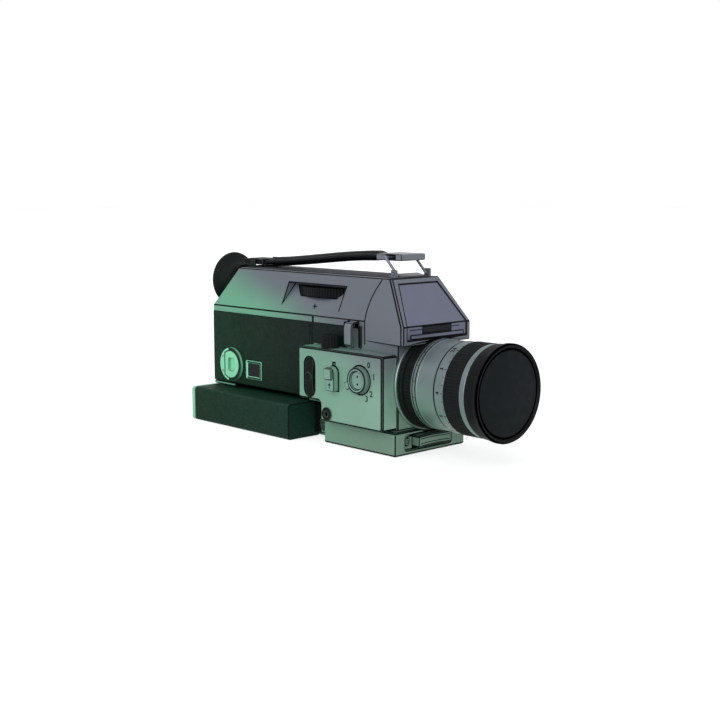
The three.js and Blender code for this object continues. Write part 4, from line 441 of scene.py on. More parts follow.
def eased(node, width, finish, edge=None, segments=2, zones=()):
    """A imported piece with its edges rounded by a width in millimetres. Each zone is a finish
    and a test: the flat faces whose middle passes the test take that finish."""
    low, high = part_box(node)
    work = bmesh.new()
    work.from_mesh(NODES[node].data)
    bmesh.ops.remove_doubles(work, verts=work.verts, dist=SAME_CORNER)
    flat = math.radians(FLAT_ANGLE)
    bmesh.ops.dissolve_limit(work, angle_limit=flat, verts=work.verts, edges=work.edges)
    sharp = [
        side
        for side in work.edges
        if len(side.link_faces) == 2 and side.calc_face_angle(0.0) > math.radians(SHARP_ANGLE)
    ]
    for face in work.faces:
        middle = face.calc_center_median() / MM
        for place, (_, test) in enumerate(zones):
            if test(middle):
                face.material_index = 2 + place
    bmesh.ops.bevel(
        work,
        geom=sharp,
        offset=width * MM,
        offset_type="OFFSET",
        segments=segments,
        profile=0.5,
        affect="EDGES",
        clamp_overlap=False,
        material=1,
    )
    for corner in work.verts:
        for i in range(3):
            corner.co[i] = min(max(corner.co[i], low[i]), high[i])
    name = node + "_skin"
    mesh = freed(name, work)
    tidy(mesh)
    holder = placed(name, mesh)
    even = holder.modifiers.new("even", "WEIGHTED_NORMAL")
    even.keep_sharp = True
    finishes = [finish, edge or finish, *[zone[0] for zone in zones]]
    for made in finishes:
        mesh.materials.append(made)
    return shown(name, worked_in(holder), finishes, node, (node,))


def turned(name, node, axis, centre, profile, finish, ribs=0, stands=True):
    """A turned piece. Its profile lists the place along the axis, the radius and, on ribbed
    pieces, the ribs' depth there, in millimetres. It closes on itself or ends on the axis."""
    steps = ribs * RIB_STEPS if ribs else ROUND_STEPS
    closed = profile[0][:2] == profile[-1][:2]
    rows = profile[:-1] if closed else profile
    work = bmesh.new()
    grid = []
    for row in rows:
        along, radius = row[0], row[1]
        depth = row[2] if len(row) > 2 else 0.0
        ring = []
        for i in range(1 if radius == 0 else steps):
            turn = 2 * math.pi * i / steps
            wave = 0.5 - RIB_SQUARE * math.cos(ribs * turn)
            reach = radius - depth * max(0.0, min(1.0, wave))
            u, v = centre[0] + reach * math.cos(turn), centre[1] + reach * math.sin(turn)
            point = {"x": (along, u, v), "y": (u, along, v), "z": (u, v, along)}[axis]
            ring.append(work.verts.new(Vector(point) * MM))
        grid.append(ring)
    pairs = list(zip(grid, grid[1:]))
    if closed:
        pairs.append((grid[-1], grid[0]))
    for one, two in pairs:
        for i in range(steps):
            j = (i + 1) % steps
            corners = [one[i % len(one)], one[j % len(one)], two[j % len(two)], two[i % len(two)]]
            corners = list(dict.fromkeys(corners))
            if len(corners) > 2:
                work.faces.new(corners)
    mesh = as_mesh(name, work)
    return shown(name, mesh, [finish], node, (node,) if stands else ())


def extent(node, centre, after=None, before=None):
    """Where a piece turned about X starts and ends, and its largest radius between two places."""
    places = [corner.co / MM for corner in NODES[node].data.vertices]
    along = [p.x for p in places]
    after, before = after or min(along), before or max(along)
    kept = [p for p in places if after - 0.01 <= p.x <= before + 0.01]
    reach = max(math.hypot(p.y - centre[0], p.z - centre[1]) for p in kept)
    return min(along), max(along), reach


def ribbon(name, node, points, width, out, finish, slot="black_plastic", thick=PAINT_THICK):
    """A thin line along points on a surface. `out` is the way that surface faces, one for all
    points or one for each."""
    spots = [Vector(p) for p in points]
    outs = out if isinstance(out, list) else [out] * len(spots)
    rows = []
    for i, (here, face) in enumerate(zip(spots, outs)):
        face = Vector(face).normalized()
        along = spots[min(i + 1, len(spots) - 1)] - spots[max(i - 1, 0)]
        side = along.cross(face).normalized() * width / 2
        low, high = face * -thick, face * thick
        rows.append([here - side + low, here + side + low, here + side + high, here - side + high])
    return shown(name, as_mesh(name, lofted(rows)[0]), [finish], node)


def numeral(digits, node, place, across, up, tall):
    """A painted number on a dial, by its middle, its two directions and its height."""
    curve = bpy.data.curves.new("dial_number", "FONT")
    curve.body = digits
    curve.size = tall * MM / CAPITAL_SHARE
    curve.align_x, curve.align_y = "CENTER", "CENTER"
    curve.extrude = PAINT_THICK * MM
    curve.offset = NUMBER_BOLD * MM
    curve.resolution_u = 3
    mesh = worked_in(placed("dial_number", curve))
    across, up = Vector(across).normalized(), Vector(up).normalized()
    out = across.cross(up)
    turn = Matrix((across, up, out)).transposed().to_4x4()
    mesh.transform(Matrix.Translation(Vector(place) * MM) @ turn)
    tidy(mesh)
    return shown("dial_number", mesh, [PAINT], node)


def joined(name, pieces):
    """Several small pieces of one finish as one, on the first one's body."""
    first = pieces[0]
    work = bmesh.new()
    for piece in pieces:
        work.from_mesh(piece.data)
    mesh = freed(name, work)
    mesh.materials.append(first.data.materials[0])
    tidy(mesh)
    for piece in pieces[1:]:
        bpy.data.objects.remove(piece)
    first.data = mesh
    first.name = name


def painted(name, node, courses, width, out):
    """Several painted lines on one face as one piece."""
    joined(name, [ribbon("line", node, course, width, out, PAINT) for course in courses])


def bored(low, high, bore, outer):
    """Profile of a ring from its bore and the outline of its outside."""
    return [(low, bore), *outer, (high, bore), (low, bore)]


def ring_profile(low, high, bore, reach, rear=0.0, front=0.0):
    """Profile of a plain ring whose outer edges are cut by widths of their own."""
    outer = [(low, reach - rear), (low + rear, reach), (high - front, reach), (high, reach - front)]
    return bored(low, high, bore, dict.fromkeys(outer))


def painted_ring(name, node, axis, centre, profile, finish):
    """Black paint round a turned piece, on its face or in a groove."""
    turned(name, node, axis, centre, profile, finish, stands=False)


# Body


def slope_out(height):
    """How far the roof slope stands out from the middle at a height."""
    return SIDE - ROOF_RATE * (height - SHOULDER)


def in_chamber(p):
    """Whether a place is a wall of the film chamber: between the cartridge spring and the
    gate, inside the near wall and up to the drive spindle's foot."""
    gate, spring = spot("gate_plate")[1], spot("cartridge_spring")[0]
    spindle = spot("drive_spindle")[0]
    return (
        spring.x - 1 < p.x < gate.x + 1
        and -SIDE + 2 < p.y < spindle.y + 5
        and DOOR_LOW.z - 20 < p.z < DOOR_HIGH.z
    )


def dress_body():
    """Castings, covers, the leather and the fixed small fittings."""
    eased("housing", 0.65, LACQUER, PRIMER, zones=[(CHAMBER_BLACK, in_chamber)])
    eased("front_bezel", 0.6, LACQUER, PRIMER)
    eased("front_panel", 0.55, PANEL, PRIMER)
    eased("finder_window", 0.15, GLASS)
    eased("label_strip", 0.4, PANEL, PRIMER)
    eased("base_tray", 0.6, LACQUER, PRIMER)
    eased("control_housing", 0.6, CONTROL_LACQUER, PRIMER)
    for node in ("front_leather", "far_leather", "door_leather"):
        eased(node, 0.4, LEATHER, LEATHER_FOLD)
    eased("side_inlay", 0.15, BLACK_PLASTIC, BLACK_EDGE)
    eased("roof_strip", 0.2, ROOF_SHEET, BLACK_PLASTIC)
    eased("slope_wheel", 0.18, BLACK_PLASTIC, BLACK_RUBBER)
    eased("trigger", 0.5, LACQUER, PRIMER, 3)
    for node in ("cable_socket", "tripod_bush", "bail_bracket"):
        eased(node, 0.3, SATIN, BRIGHT_EDGE)
    eased("rear_bracket", 0.35, BLACK_PLASTIC, BLACK_EDGE)
    for node in ("base_screw_1", "base_screw_2", "base_screw_3", "gate_plate"):
        eased(node, 0.12, STEEL)
    for node in ("cartridge_spring", "door_hinge_pin"):
        eased(node, 0.08, STEEL)
    eased("drive_spindle", 0.15, BLACK_PLASTIC, BLACK_EDGE)
    head_seams()
    shoulder_lines()
    scoop_line()
    label_frame()
    slope_mark()
    panel_lines()
    base_corner_lines()
    trigger_grooves()


SEAM_LINE, SEAM_THICK = 0.95, 0.09
SEAM_STEPS = 14
# How far back the seam stands at its foot and top, and how far it bows between them
SEAM_FOOT, SEAM_TOP, SEAM_BOW = 19.8, 9.4, 2.6
SEAM_LOW = 66.5
SEAM_BEND_DROP, SEAM_TOP_DROP = 1.5, 0.6


def head_seams():
    """The filled joint where the head's cheek meets the roof slope, on both sides."""
    rise = ROOF_HEIGHT - SEAM_TOP_DROP - SHOULDER
    for side, name in ((-1, "near_head_seam"), (1, "far_head_seam")):
        upright = (SEAM_LOW, SHOULDER - SEAM_BEND_DROP)
        points = [(-SEAM_FOOT, side * SIDE, height) for height in upright]
        outs = [(0, side, 0)] * len(points)
        for share in stepped(0.0, 1.0, SEAM_STEPS):
            bow = SEAM_BOW * 4 * share * (1 - share)
            reach = SEAM_FOOT + (SEAM_TOP - SEAM_FOOT) * share + bow
            height = SHOULDER + rise * share
            points.append((-reach, side * slope_out(height), height))
            outs.append((0, side, ROOF_RATE))
        ribbon(name, "housing", points, SEAM_LINE, outs, PAINT, thick=SEAM_THICK)


SHOULDER_GAP = 1.0
SHOULDER_LINE, SHOULDER_THICK = 0.8, 0.08


def shoulder_lines():
    """The filled crease below the roof slope, from the door to the head on the near side and
    from end to end on the far side."""
    near, far = DOOR_HIGH.x + SHOULDER_GAP, spot("far_leather")[0].x - 0.5
    for side, rear, name in ((-1, near, "near_shoulder_line"), (1, far, "far_shoulder_line")):
        ends = [(x, side * SIDE, SHOULDER) for x in (rear, -SEAM_FOOT)]
        out = (0, side, 0.1)
        ribbon(name, "housing", ends, SHOULDER_LINE, out, PAINT, thick=SHOULDER_THICK)


SCOOP_TIP, SCOOP_RUN = -41.0, 4.0
SCOOP_HEIGHTS = (85.5, 101.5)
SCOOP_LINE, SCOOP_THICK = 0.85, 0.1


def scoop_line():
    """Dark painted front edge of the hollow round the thumbwheel."""
    foot, top = SCOOP_HEIGHTS
    ends = [(SCOOP_TIP, -slope_out(top), top), (SCOOP_TIP - SCOOP_RUN, -slope_out(foot), foot)]
    out = (0, -1, ROOF_RATE)
    ribbon("scoop_front_line", "housing", ends, SCOOP_LINE, out, PAINT, thick=SCOOP_THICK)


LABEL_LINE = 0.5
LABEL_INSET, LABEL_GAP = 0.5, 0.4


def label_frame():
    """A painted frame round the bare label strip."""
    low, high = spot("label_strip")
    left, right = low.y + LABEL_INSET, high.y - LABEL_INSET
    foot, top = low.z + LABEL_GAP, high.z - LABEL_GAP
    round_it = [(left, foot), (right, foot), (right, top), (left, top), (left, foot)]
    corners = [(high.x, y, z) for y, z in round_it]
    sides = [list(side) for side in zip(corners, corners[1:])]
    painted("label_frame", "label_strip", sides, LABEL_LINE, (1, 0, 0))


PLUS_PLACE = (-68.8, 87.4)
PLUS_ARM = 1.8
PLUS_LINE = 0.7


def slope_mark():
    """A small painted plus on the slope below the thumbwheel."""
    x, height = PLUS_PLACE
    out = Vector((0, -1, ROOF_RATE)).normalized()
    up = Vector((0, ROOF_RATE, 1)).normalized()
    middle = Vector((x, -slope_out(height), height))
    arms = [way * PLUS_ARM for way in (up, Vector((1, 0, 0)))]
    courses = [[middle - arm, middle + arm] for arm in arms]
    painted("slope_plus", "housing", courses, PLUS_LINE, out)


PANEL_LINE = 0.4
PANEL_LINE_RISE, PANEL_LINE_GAP = 0.5, 0.4
PANEL_LINE_ENDS = (-24.4, 20.0)


def panel_lines():
    """Filled lines that run out from the finder window across the front panel."""
    low, high = spot("finder_window")
    height = (low.z + high.z) / 2 + PANEL_LINE_RISE
    near, far = PANEL_LINE_ENDS
    spans = ((low.y - PANEL_LINE_GAP, near), (high.y + PANEL_LINE_GAP, far))
    courses = [[(high.x, y, height) for y in span] for span in spans]
    painted("window_lines", "front_panel", courses, PANEL_LINE, (1, 0, 0))


CORNER_LINE, CORNER_THICK = 0.9, 0.09
CORNER_GAP = 0.8


def base_corner_lines():
    """The rounded front corners of the base, rubbed down to the primer."""
    places = [corner.co / MM for corner in NODES["base_tray"].data.vertices]
    foot = spot("base_tray")[0].z + CORNER_GAP
    for side, name in ((-1, "near_base_corner"), (1, "far_base_corner")):
        reach = max(p.x + side * p.y for p in places)
        tips = [p for p in places if p.x + side * p.y > reach - 0.05]
        x, y = (sum(p[i] for p in tips) / len(tips) for i in (0, 1))
        ends = [(x, y, foot), (x, y, max(p.z for p in tips) - CORNER_GAP)]
        out = (1, side, 0)
        ribbon(name, "base_tray", ends, CORNER_LINE, out, PRIMER, None, CORNER_THICK)


TRIGGER_LINE = 0.55
TRIGGER_HEIGHTS = (6.3, 9.3)
# The share of the face's end stretches that the grooves leave free
TRIGGER_ENDS = 0.15


def trigger_grooves():
    """Two filled finger grooves along the trigger's front face."""
    mesh = NODES["trigger"].data
    fronts = {}
    for face in mesh.polygons:
        if face.normal.x > 0.9:
            for i in face.vertices:
                place = mesh.vertices[i].co / MM
                fronts[round(place.y, 1)] = place.x
    course = [Vector((x, y)) for y, x in sorted(fronts.items())]
    course[0] = course[0].lerp(course[1], TRIGGER_ENDS)
    course[-1] = course[-1].lerp(course[-2], TRIGGER_ENDS)
    courses = [[(x, y, height) for x, y in course] for height in TRIGGER_HEIGHTS]
    painted("trigger_grooves", "trigger", courses, TRIGGER_LINE, (1, 0, 0))


# Controls

DIAL_NUMBERS = ((52, "0"), (14, "1"), (-38, "2"), (-62, "3"))
DIAL_NUMBER_REACH = 12.6
NUMBER_TALL = 3.6
DIAL_GAP, DIAL_LINE = 0.3, 1.0
RIM_INSETS = (1.15, 0.5)


def dress_controls():
    """Rocker, lever, dial, knob, clip and socket on the operator's side."""
    eased("rocker_liner", 0.12, BLACK_PLASTIC, BLACK_EDGE)
    eased("zoom_rocker", 0.3, BLACK_PLASTIC, BLACK_EDGE)
    eased("slide_lever", 0.45, SATIN, BRIGHT_EDGE)
    eased("dial_ring", 0.45, SATIN, BRIGHT_EDGE)
    eased("dial_hub", 0.3, SATIN, BRIGHT_EDGE)
    eased("side_knob", 0.25, BLACK_PLASTIC, BLACK_RUBBER)
    eased("clip_lever", 0.45, SATIN, BRIGHT_EDGE)
    eased("jack_socket", 0.25, BLACK_PLASTIC, BLACK_EDGE)
    dial_marks()
    dial_outline()
    lever_arrow()
    lever_plate()
    socket_sleeve()


def dial_marks():
    """Numbers round the dial on the control housing's face."""
    node = "control_housing"
    face = spot(node)[0].y
    x, z = middle_of("dial_hub")
    numbers = []
    for angle, digits in DIAL_NUMBERS:
        turn = math.radians(angle)
        u, v = DIAL_NUMBER_REACH * math.cos(turn), DIAL_NUMBER_REACH * math.sin(turn)
        place = (x + u, face, z + v)
        numbers.append(numeral(digits, node, place, (1, 0, 0), (0, 0, 1), NUMBER_TALL))
    joined("dial_numbers", numbers)


def dial_outline():
    """Painted shade: a dead black ring round the foot of the dial, and a black line inside its rim.
    """
    centre = middle_of("dial_hub")
    low, high = spot("dial_ring")
    rim = high.x - centre[0]
    face = spot("control_housing")[0].y
    reach = rim + DIAL_GAP
    profile = ring_profile(face + PAINT_ROOT, face - PAINT_THICK, reach, reach + DIAL_LINE)
    painted_ring("dial_foot_shade", "control_housing", "y", centre, profile, GROOVE_SHADE_AND_LINES)
    top = low.y + 0.02
    bore, reach = (rim - inset for inset in RIM_INSETS)
    profile = ring_profile(top + PAINT_ROOT, top - 0.04, bore, reach)
    painted_ring("dial_rim_line", "dial_ring", "y", centre, profile, GROOVE_SHADE_AND_LINES)


ARROW_LINE = 0.55
ARROW_SIDE, ARROW_SINK = 0.5, 1.3
ARROW_HEIGHTS = (1.6, 5.0)
ARROW_BARB = (1.1, 1.3)


def lever_arrow():
    """A painted arrow on the sliding lever that points the way it moves."""
    low = spot("slide_lever")[0]
    x = middle_of("slide_lever")[0] + ARROW_SIDE
    face, foot, tip = low.y + ARROW_SINK, low.z + ARROW_HEIGHTS[0], low.z + ARROW_HEIGHTS[1]
    wide, long = ARROW_BARB
    starts = [(x, foot), (x - wide, tip - long), (x + wide, tip - long)]
    courses = [[(u, face, v), (x, face, tip)] for u, v in starts]
    painted("lever_arrow", "slide_lever", courses, ARROW_LINE, (0, -1, 0))


PLATE_LAP = 0.65
PLATE_RISES = (0.06, 0.2)


def lever_plate():
    """Thin black dust plate that slides under the lever, a little wider than its foot. Its dead
    black paints the shade round the lever's foot.
    """
    face = spot("control_housing")[0].y
    spots = [
        Vector((corner.co.x / MM, corner.co.z / MM))
        for corner in NODES["slide_lever"].data.vertices
        if corner.co.y / MM < face
    ]
    middle = Vector(middle_of("slide_lever"))
    rim = [spots[i] for i in geometry.convex_hull_2d(spots)]
    rim = [p + (p - middle).normalized() * PLATE_LAP for p in rim]
    rows = [[(p.x, face - rise, p.y) for p in rim] for rise in PLATE_RISES]
    mesh = as_mesh("lever_dust_plate", lofted(rows)[0])
    shown("lever_dust_plate", mesh, [GROOVE_SHADE_AND_LINES], "slide_lever")


def socket_sleeve():
    """Dull contact sleeve in the jack socket's mouth."""
    face = spot("jack_socket")[0].y
    profile = [
        (face + 0.5, 1.35),
        (face - 0.02, 1.45),
        (face - 0.02, 2.3),
        (face + 0.1, 2.4),
        (face + 0.5, 2.4),
        (face + 0.5, 1.35),
    ]
    centre, slot = middle_of("jack_socket"), "bright_metal"
    turned("socket_sleeve", "jack_socket", "y", centre, profile, BLACK_EDGE, 0, False)


# Film door

# How far from the door's front edge its hinge bead starts, and how deep its outer skin is
BEAD_REACH, SKIN_DEPTH = 2.5, 1.5


def dress_door():
    """Door plate, latch, handle, window and the leather rolled over the hinge."""
    bead, inside = DOOR_HIGH.x - BEAD_REACH, -SIDE + SKIN_DEPTH
    zones = [(CHAMBER_BLACK, lambda p: p.y > inside), (LEATHER, lambda p: p.x > bead)]
    eased("door_plate", 0.25, LACQUER, PRIMER, zones=zones)
    eased("latch_disc", 0.3, BRIGHT, BRIGHT_EDGE)
    eased("latch_handle", 0.2, BRIGHT, BRIGHT_EDGE)
    eased("window_frame", 0.4, LEATHER_FOLD, BRIGHT)
    eased("window_pane", 0.1, GLASS)
    latch_screws()
    latch_painted_shade()
    window_bar()
    hinge_leather()


SCREW_RADIUS = 0.95
SCREW_SIDE, SCREW_RISE = 8.3, 5.2
SLOT_LINE, SLOT_HALF = 0.28, (0.7, 0.4)


def latch_screws():
    """Two slotted screws on the latch disc, behind the handle's hinge."""
    x, z = middle_of("latch_disc")
    face = spot("latch_disc")[0].y
    for name, rise in (("latch_screw_upper", SCREW_RISE), ("latch_screw_lower", -SCREW_RISE)):
        u, v = x - SCREW_SIDE, z + rise
        profile = [
            (face + 0.1, 0.0),
            (face + 0.1, SCREW_RADIUS),
            (face - 0.1, SCREW_RADIUS),
            (face - 0.22, SCREW_RADIUS * 0.6),
            (face - 0.26, 0.0),
        ]
        turned(name, "latch_disc", "y", (u, v), profile, STEEL, stands=False)
        wide, tall = SLOT_HALF
        ends = [(u - wide, face - 0.24, v - tall), (u + wide, face - 0.24, v + tall)]
        ribbon(name + "_slot", "latch_disc", ends, SLOT_LINE, (0, -1, 0), PAINT)


# The painted shade round the latch handle: its radius, width, arc in degrees and steps
LATCH_SHADE_REACH = 10.8
LATCH_SHADE_WIDE = 1.7
LATCH_SHADE_BEND = (-100, 100)
LATCH_SHADE_STEPS = 40


def latch_painted_shade():
    """Painted shade: a dark band of leather colour round the curved side of the latch handle."""
    x, z = middle_of("latch_disc")
    face = spot("latch_disc")[0].y
    bends = [math.radians(bend) for bend in stepped(*LATCH_SHADE_BEND, LATCH_SHADE_STEPS)]
    points = [
        (x + LATCH_SHADE_REACH * math.cos(bend), face, z + LATCH_SHADE_REACH * math.sin(bend))
        for bend in bends
    ]
    ribbon("latch_painted_shade", "latch_disc", points, LATCH_SHADE_WIDE, (0, -1, 0), LEATHER)


def window_bar():
    """Bright bar on the rear side of the film window's frame."""
    low, high = spot("window_frame")
    pane = spot("window_pane")[0].x
    x, wide = (low.x + pane) / 2, pane - low.x - 0.5
    ends = [(x, low.y, low.z + 0.6), (x, low.y, high.z - 0.6)]
    ribbon("window_bar", "window_frame", ends, wide, (0, -1, 0), BRIGHT, "bright_metal")


# The leather's thickness over the bead, how far its foot stands above the door leather's to
# clear the recess, and the arc round the pin that it covers, in degrees
HINGE_SKIN, HINGE_FOOT = 0.13, 0.5
HINGE_ARC, HINGE_ARC_STEPS = (-96, -58), 8
HINGE_LINE, HINGE_LINE_GAP, HINGE_LINE_THICK = 0.42, 0.25, 0.1


def hinge_leather():
    """Thin leather that wraps the door's hinge bead and hides the joint beside it."""
    pin_low, pin_high = spot("door_hinge_pin")
    x, y = (pin_low.x + pin_high.x) / 2, (pin_low.y + pin_high.y) / 2
    low, high = spot("door_leather")
    bends = [math.radians(bend) for bend in stepped(*HINGE_ARC, HINGE_ARC_STEPS)]
    inner, outer = (
        [(high.x, y - reach)]
        + [(x + reach * math.cos(bend), y + reach * math.sin(bend)) for bend in bends]
        for reach in (y + SIDE, y + SIDE + HINGE_SKIN)
    )
    loop = inner + outer[::-1]
    rows = [[(u, v, height) for u, v in loop] for height in (low.z + HINGE_FOOT, high.z)]
    work, rings = lofted(rows, capped=False)
    for ring in rings:
        for i in range(len(inner) - 1):
            work.faces.new((ring[i], ring[i + 1], ring[-2 - i], ring[-1 - i]))
    shown("hinge_leather", as_mesh("hinge_leather", work), [LEATHER], "door_leather")
    front = spot("front_leather")[0]
    ends = [(front.x - HINGE_LINE_GAP, -SIDE, height) for height in (front.z, high.z)]
    out, thick = (0, -1, 0), HINGE_LINE_THICK
    ribbon("hinge_shadow_line", "front_leather", ends, HINGE_LINE, out, PAINT, thick=thick)


# Grip

# Where the knuckle starts in front of the cells, and its metal tongue in front of that
KNUCKLE_REAR, KNUCKLE_FRONT = 3.4, 5.7


def dress_grip():
    """Grip, its knuckle and metal tongue, the end plate and the cells."""
    rear = spot("battery_1")[1].x + KNUCKLE_REAR
    front = rear + KNUCKLE_FRONT
    # The knuckle's black is also painted shade: a dark piece where shade falls between the grip and
    # the base.
    zones = [(BLACK_PLASTIC, lambda p: p.x > rear), (END_PLATE, lambda p: p.x > front)]
    eased("grip_shell", 0.7, GRIP_VINYL_PAINTED_LIGHT, LEATHER_FOLD, 3, zones)
    eased("grip_cap", 0.4, END_PLATE, BRIGHT_EDGE, 3)
    eased("grip_bolt", 0.25, STEEL)
    for node in ("battery_1", "battery_2"):
        eased(node, 0.3, JACKET, STEEL)


# Lens

BORE, FILTER_BORE = 23.55, 23.4
FLANGE_WALL = 9.0
SLEEVE_LINE = 0.6


def dress_lens():
    """The lens from its flange to its cap, all turned about one axis."""
    low, high, reach = extent("lens_flange", LENS_AXIS)
    profile = ring_profile(low, high, reach - FLANGE_WALL, reach, front=0.5)
    turned("flange_ring", "lens_flange", "x", LENS_AXIS, profile, SLEEVE)
    dress_zoom()
    dress_barrel()
    low, high, reach = extent("scale_ring", LENS_AXIS)
    profile = ring_profile(low, high, BORE, reach, 0.4, 0.3)
    turned("distance_ring", "scale_ring", "x", LENS_AXIS, profile, SLEEVE)
    scale_marks(low, high, reach)
    low, high, reach = extent("focus_ring", LENS_AXIS)
    profile = bored(low, high, BORE, ribbed_band(low, high, reach))
    turned("focus_grip", "focus_ring", "x", LENS_AXIS, profile, BLACK_RUBBER, FOCUS_RIBS)
    dress_front()


ZOOM_RIBS, FOCUS_RIBS = 84, 92
RIB_DEPTH = 0.45
RIB_LIP = 0.9


def ribbed_band(low, high, reach):
    """Profile of fine ribs between two plain lips."""
    return [
        (low, reach - 0.35),
        (low + 0.35, reach),
        (low + RIB_LIP, reach),
        (low + RIB_LIP + 0.3, reach, RIB_DEPTH),
        (high - RIB_LIP - 0.3, reach, RIB_DEPTH),
        (high - RIB_LIP, reach),
        (high - 0.35, reach),
        (high, reach - 0.35),
    ]


def out_from_lens(corner):
    """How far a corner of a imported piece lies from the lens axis, in millimetres."""
    place = corner.co / MM
    return math.hypot(place.y - LENS_AXIS[0], place.z - LENS_AXIS[1])


def dress_zoom():
    """Zoom ring: a plain skirt over the flange and a ribbed band ahead of it."""
    low, high, skirt = extent("zoom_ring", LENS_AXIS)
    reach = extent("zoom_ring", LENS_AXIS, high - 1)[2]
    corners = NODES["zoom_ring"].data.vertices
    step = max(corner.co.x / MM for corner in corners if out_from_lens(corner) > reach + 0.5)
    outer = [(low, skirt - 0.4), (low + 0.4, skirt), (step - 0.4, skirt), (step, skirt - 0.4)]
    profile = bored(low, high, BORE, outer + ribbed_band(step, high, reach))
    turned("zoom_grip", "zoom_ring", "x", LENS_AXIS, profile, BLACK_RUBBER, ZOOM_RIBS)


INDEX_TICKS = 18
# Radii of the barrel's tube, its spigot in the body, its bore and the seat of the front glass
TUBE, SPIGOT, TUBE_BORE, GLASS_SEAT = 23.2, 20.0, 17.8, 21.0
GROOVE_HALF, GROOVE_DEPTH = 0.45, 0.3


def dress_barrel():
    """The fixed barrel with its double line and plain sleeve."""
    node = "lens_barrel"
    low, high, index = extent(node, LENS_AXIS)
    first = extent("zoom_ring", LENS_AXIS)[1] + 0.3
    last = extent("scale_ring", LENS_AXIS)[0] - 0.3
    sleeve = extent(node, LENS_AXIS, last - 1, last + 0.2)[2]
    flange = extent("lens_flange", LENS_AXIS)[1] + 0.15
    lines = [first + 1.5, first + 3.9]
    profile = [
        (low, TUBE_BORE),
        (low, SPIGOT),
        (flange, SPIGOT),
        (flange, TUBE),
        (first, TUBE),
        (first, index - 0.3),
        (first + 0.3, index),
    ]
    for line in lines:
        profile += groove(line, index)
    profile += [
        (first + 5.2, index),
        (first + 5.4, sleeve),
        (last - 0.1, sleeve),
        (last, sleeve - 0.1),
        (last, TUBE),
        (high, TUBE),
        (high, GLASS_SEAT),
        (high - 3.0, GLASS_SEAT),
        (high - 3.0, TUBE_BORE),
        (low, TUBE_BORE),
    ]
    turned("fixed_barrel", node, "x", LENS_AXIS, profile, SLEEVE)
    for name, line in zip(("index_line_rear", "index_line_front"), lines):
        profile = ring_profile(line - 0.34, line + 0.34, index - GROOVE_DEPTH, index - 0.04)
        painted_ring(name, node, "x", LENS_AXIS, profile, PAINT)
    span = (lines[0] + 0.7, lines[1] - 0.7)
    joined("index_ticks", [tick(node, turn, span, index) for turn in turns(INDEX_TICKS, 0.5)])
    # A black ring at the sleeve's end paints the shade of the gap before the distance ring.
    start_at = last - SLEEVE_LINE
    reach = extent(node, LENS_AXIS, start_at - 1, last)[2]
    profile = ring_profile(start_at, last, reach - PAINT_ROOT, reach + PAINT_THICK)
    painted_ring("sleeve_gap_shade", node, "x", LENS_AXIS, profile, PAINT)


def groove(line, reach):
    """Profile of a groove cut round a ring at a place along it."""
    return [
        (line - GROOVE_HALF, reach),
        (line - GROOVE_HALF + 0.1, reach - GROOVE_DEPTH),
        (line + GROOVE_HALF - 0.1, reach - GROOVE_DEPTH),
        (line + GROOVE_HALF, reach),
    ]


def turns(count, offset=0.0):
    """Even turns round an axis. The first is a share of a step from where they start."""
    return [2 * math.pi * (i + offset) / count for i in range(count)]


def tick(node, turn, span, reach):
    """A short painted line along the lens, at a turn round its axis."""
    out = (0.0, math.cos(turn), math.sin(turn))
    ends = [(x, out[1] * reach, LENS_AXIS[1] + out[2] * reach) for x in span]
    return ribbon("tick", node, ends, TICK_LINE, out, PAINT)


TICK_LINE = 0.5
SCALE_TICKS = 36
SCALE_LONG, SCALE_SHORT, SCALE_EDGE = 1.9, 1.3, 0.5
SCALE_NUMBER_PLACE, SCALE_NUMBER_TALL = 2.9, 2.4
SCALE_NUMBERS = ("1", "1.2", "1.5", "2", "2.5", "3", "4", "5", "7", "10", "15", "30")


def scale_marks(low, high, reach):
    """Ticks and distance numbers painted round the distance ring."""
    marks = []
    every = SCALE_TICKS // len(SCALE_NUMBERS)
    for i, turn in enumerate(turns(SCALE_TICKS)):
        long = SCALE_SHORT if i % every else SCALE_LONG
        marks.append(tick("scale_ring", turn, (high - long, high - SCALE_EDGE), reach))
    for turn, digits in zip(turns(len(SCALE_NUMBERS)), SCALE_NUMBERS):
        out = Vector((0.0, math.cos(turn), math.sin(turn)))
        place = Vector((low + SCALE_NUMBER_PLACE, 0.0, LENS_AXIS[1])) + out * reach
        across = Vector((0.0, math.sin(turn), -math.cos(turn)))
        up = out.cross(across)
        marks.append(numeral(digits, "scale_ring", place, across, up, SCALE_NUMBER_TALL))
    joined("distance_scale", marks)


THREAD_DEPTH, THREAD_PITCH = 0.35, 0.5
FILTER_WALL = 2.0


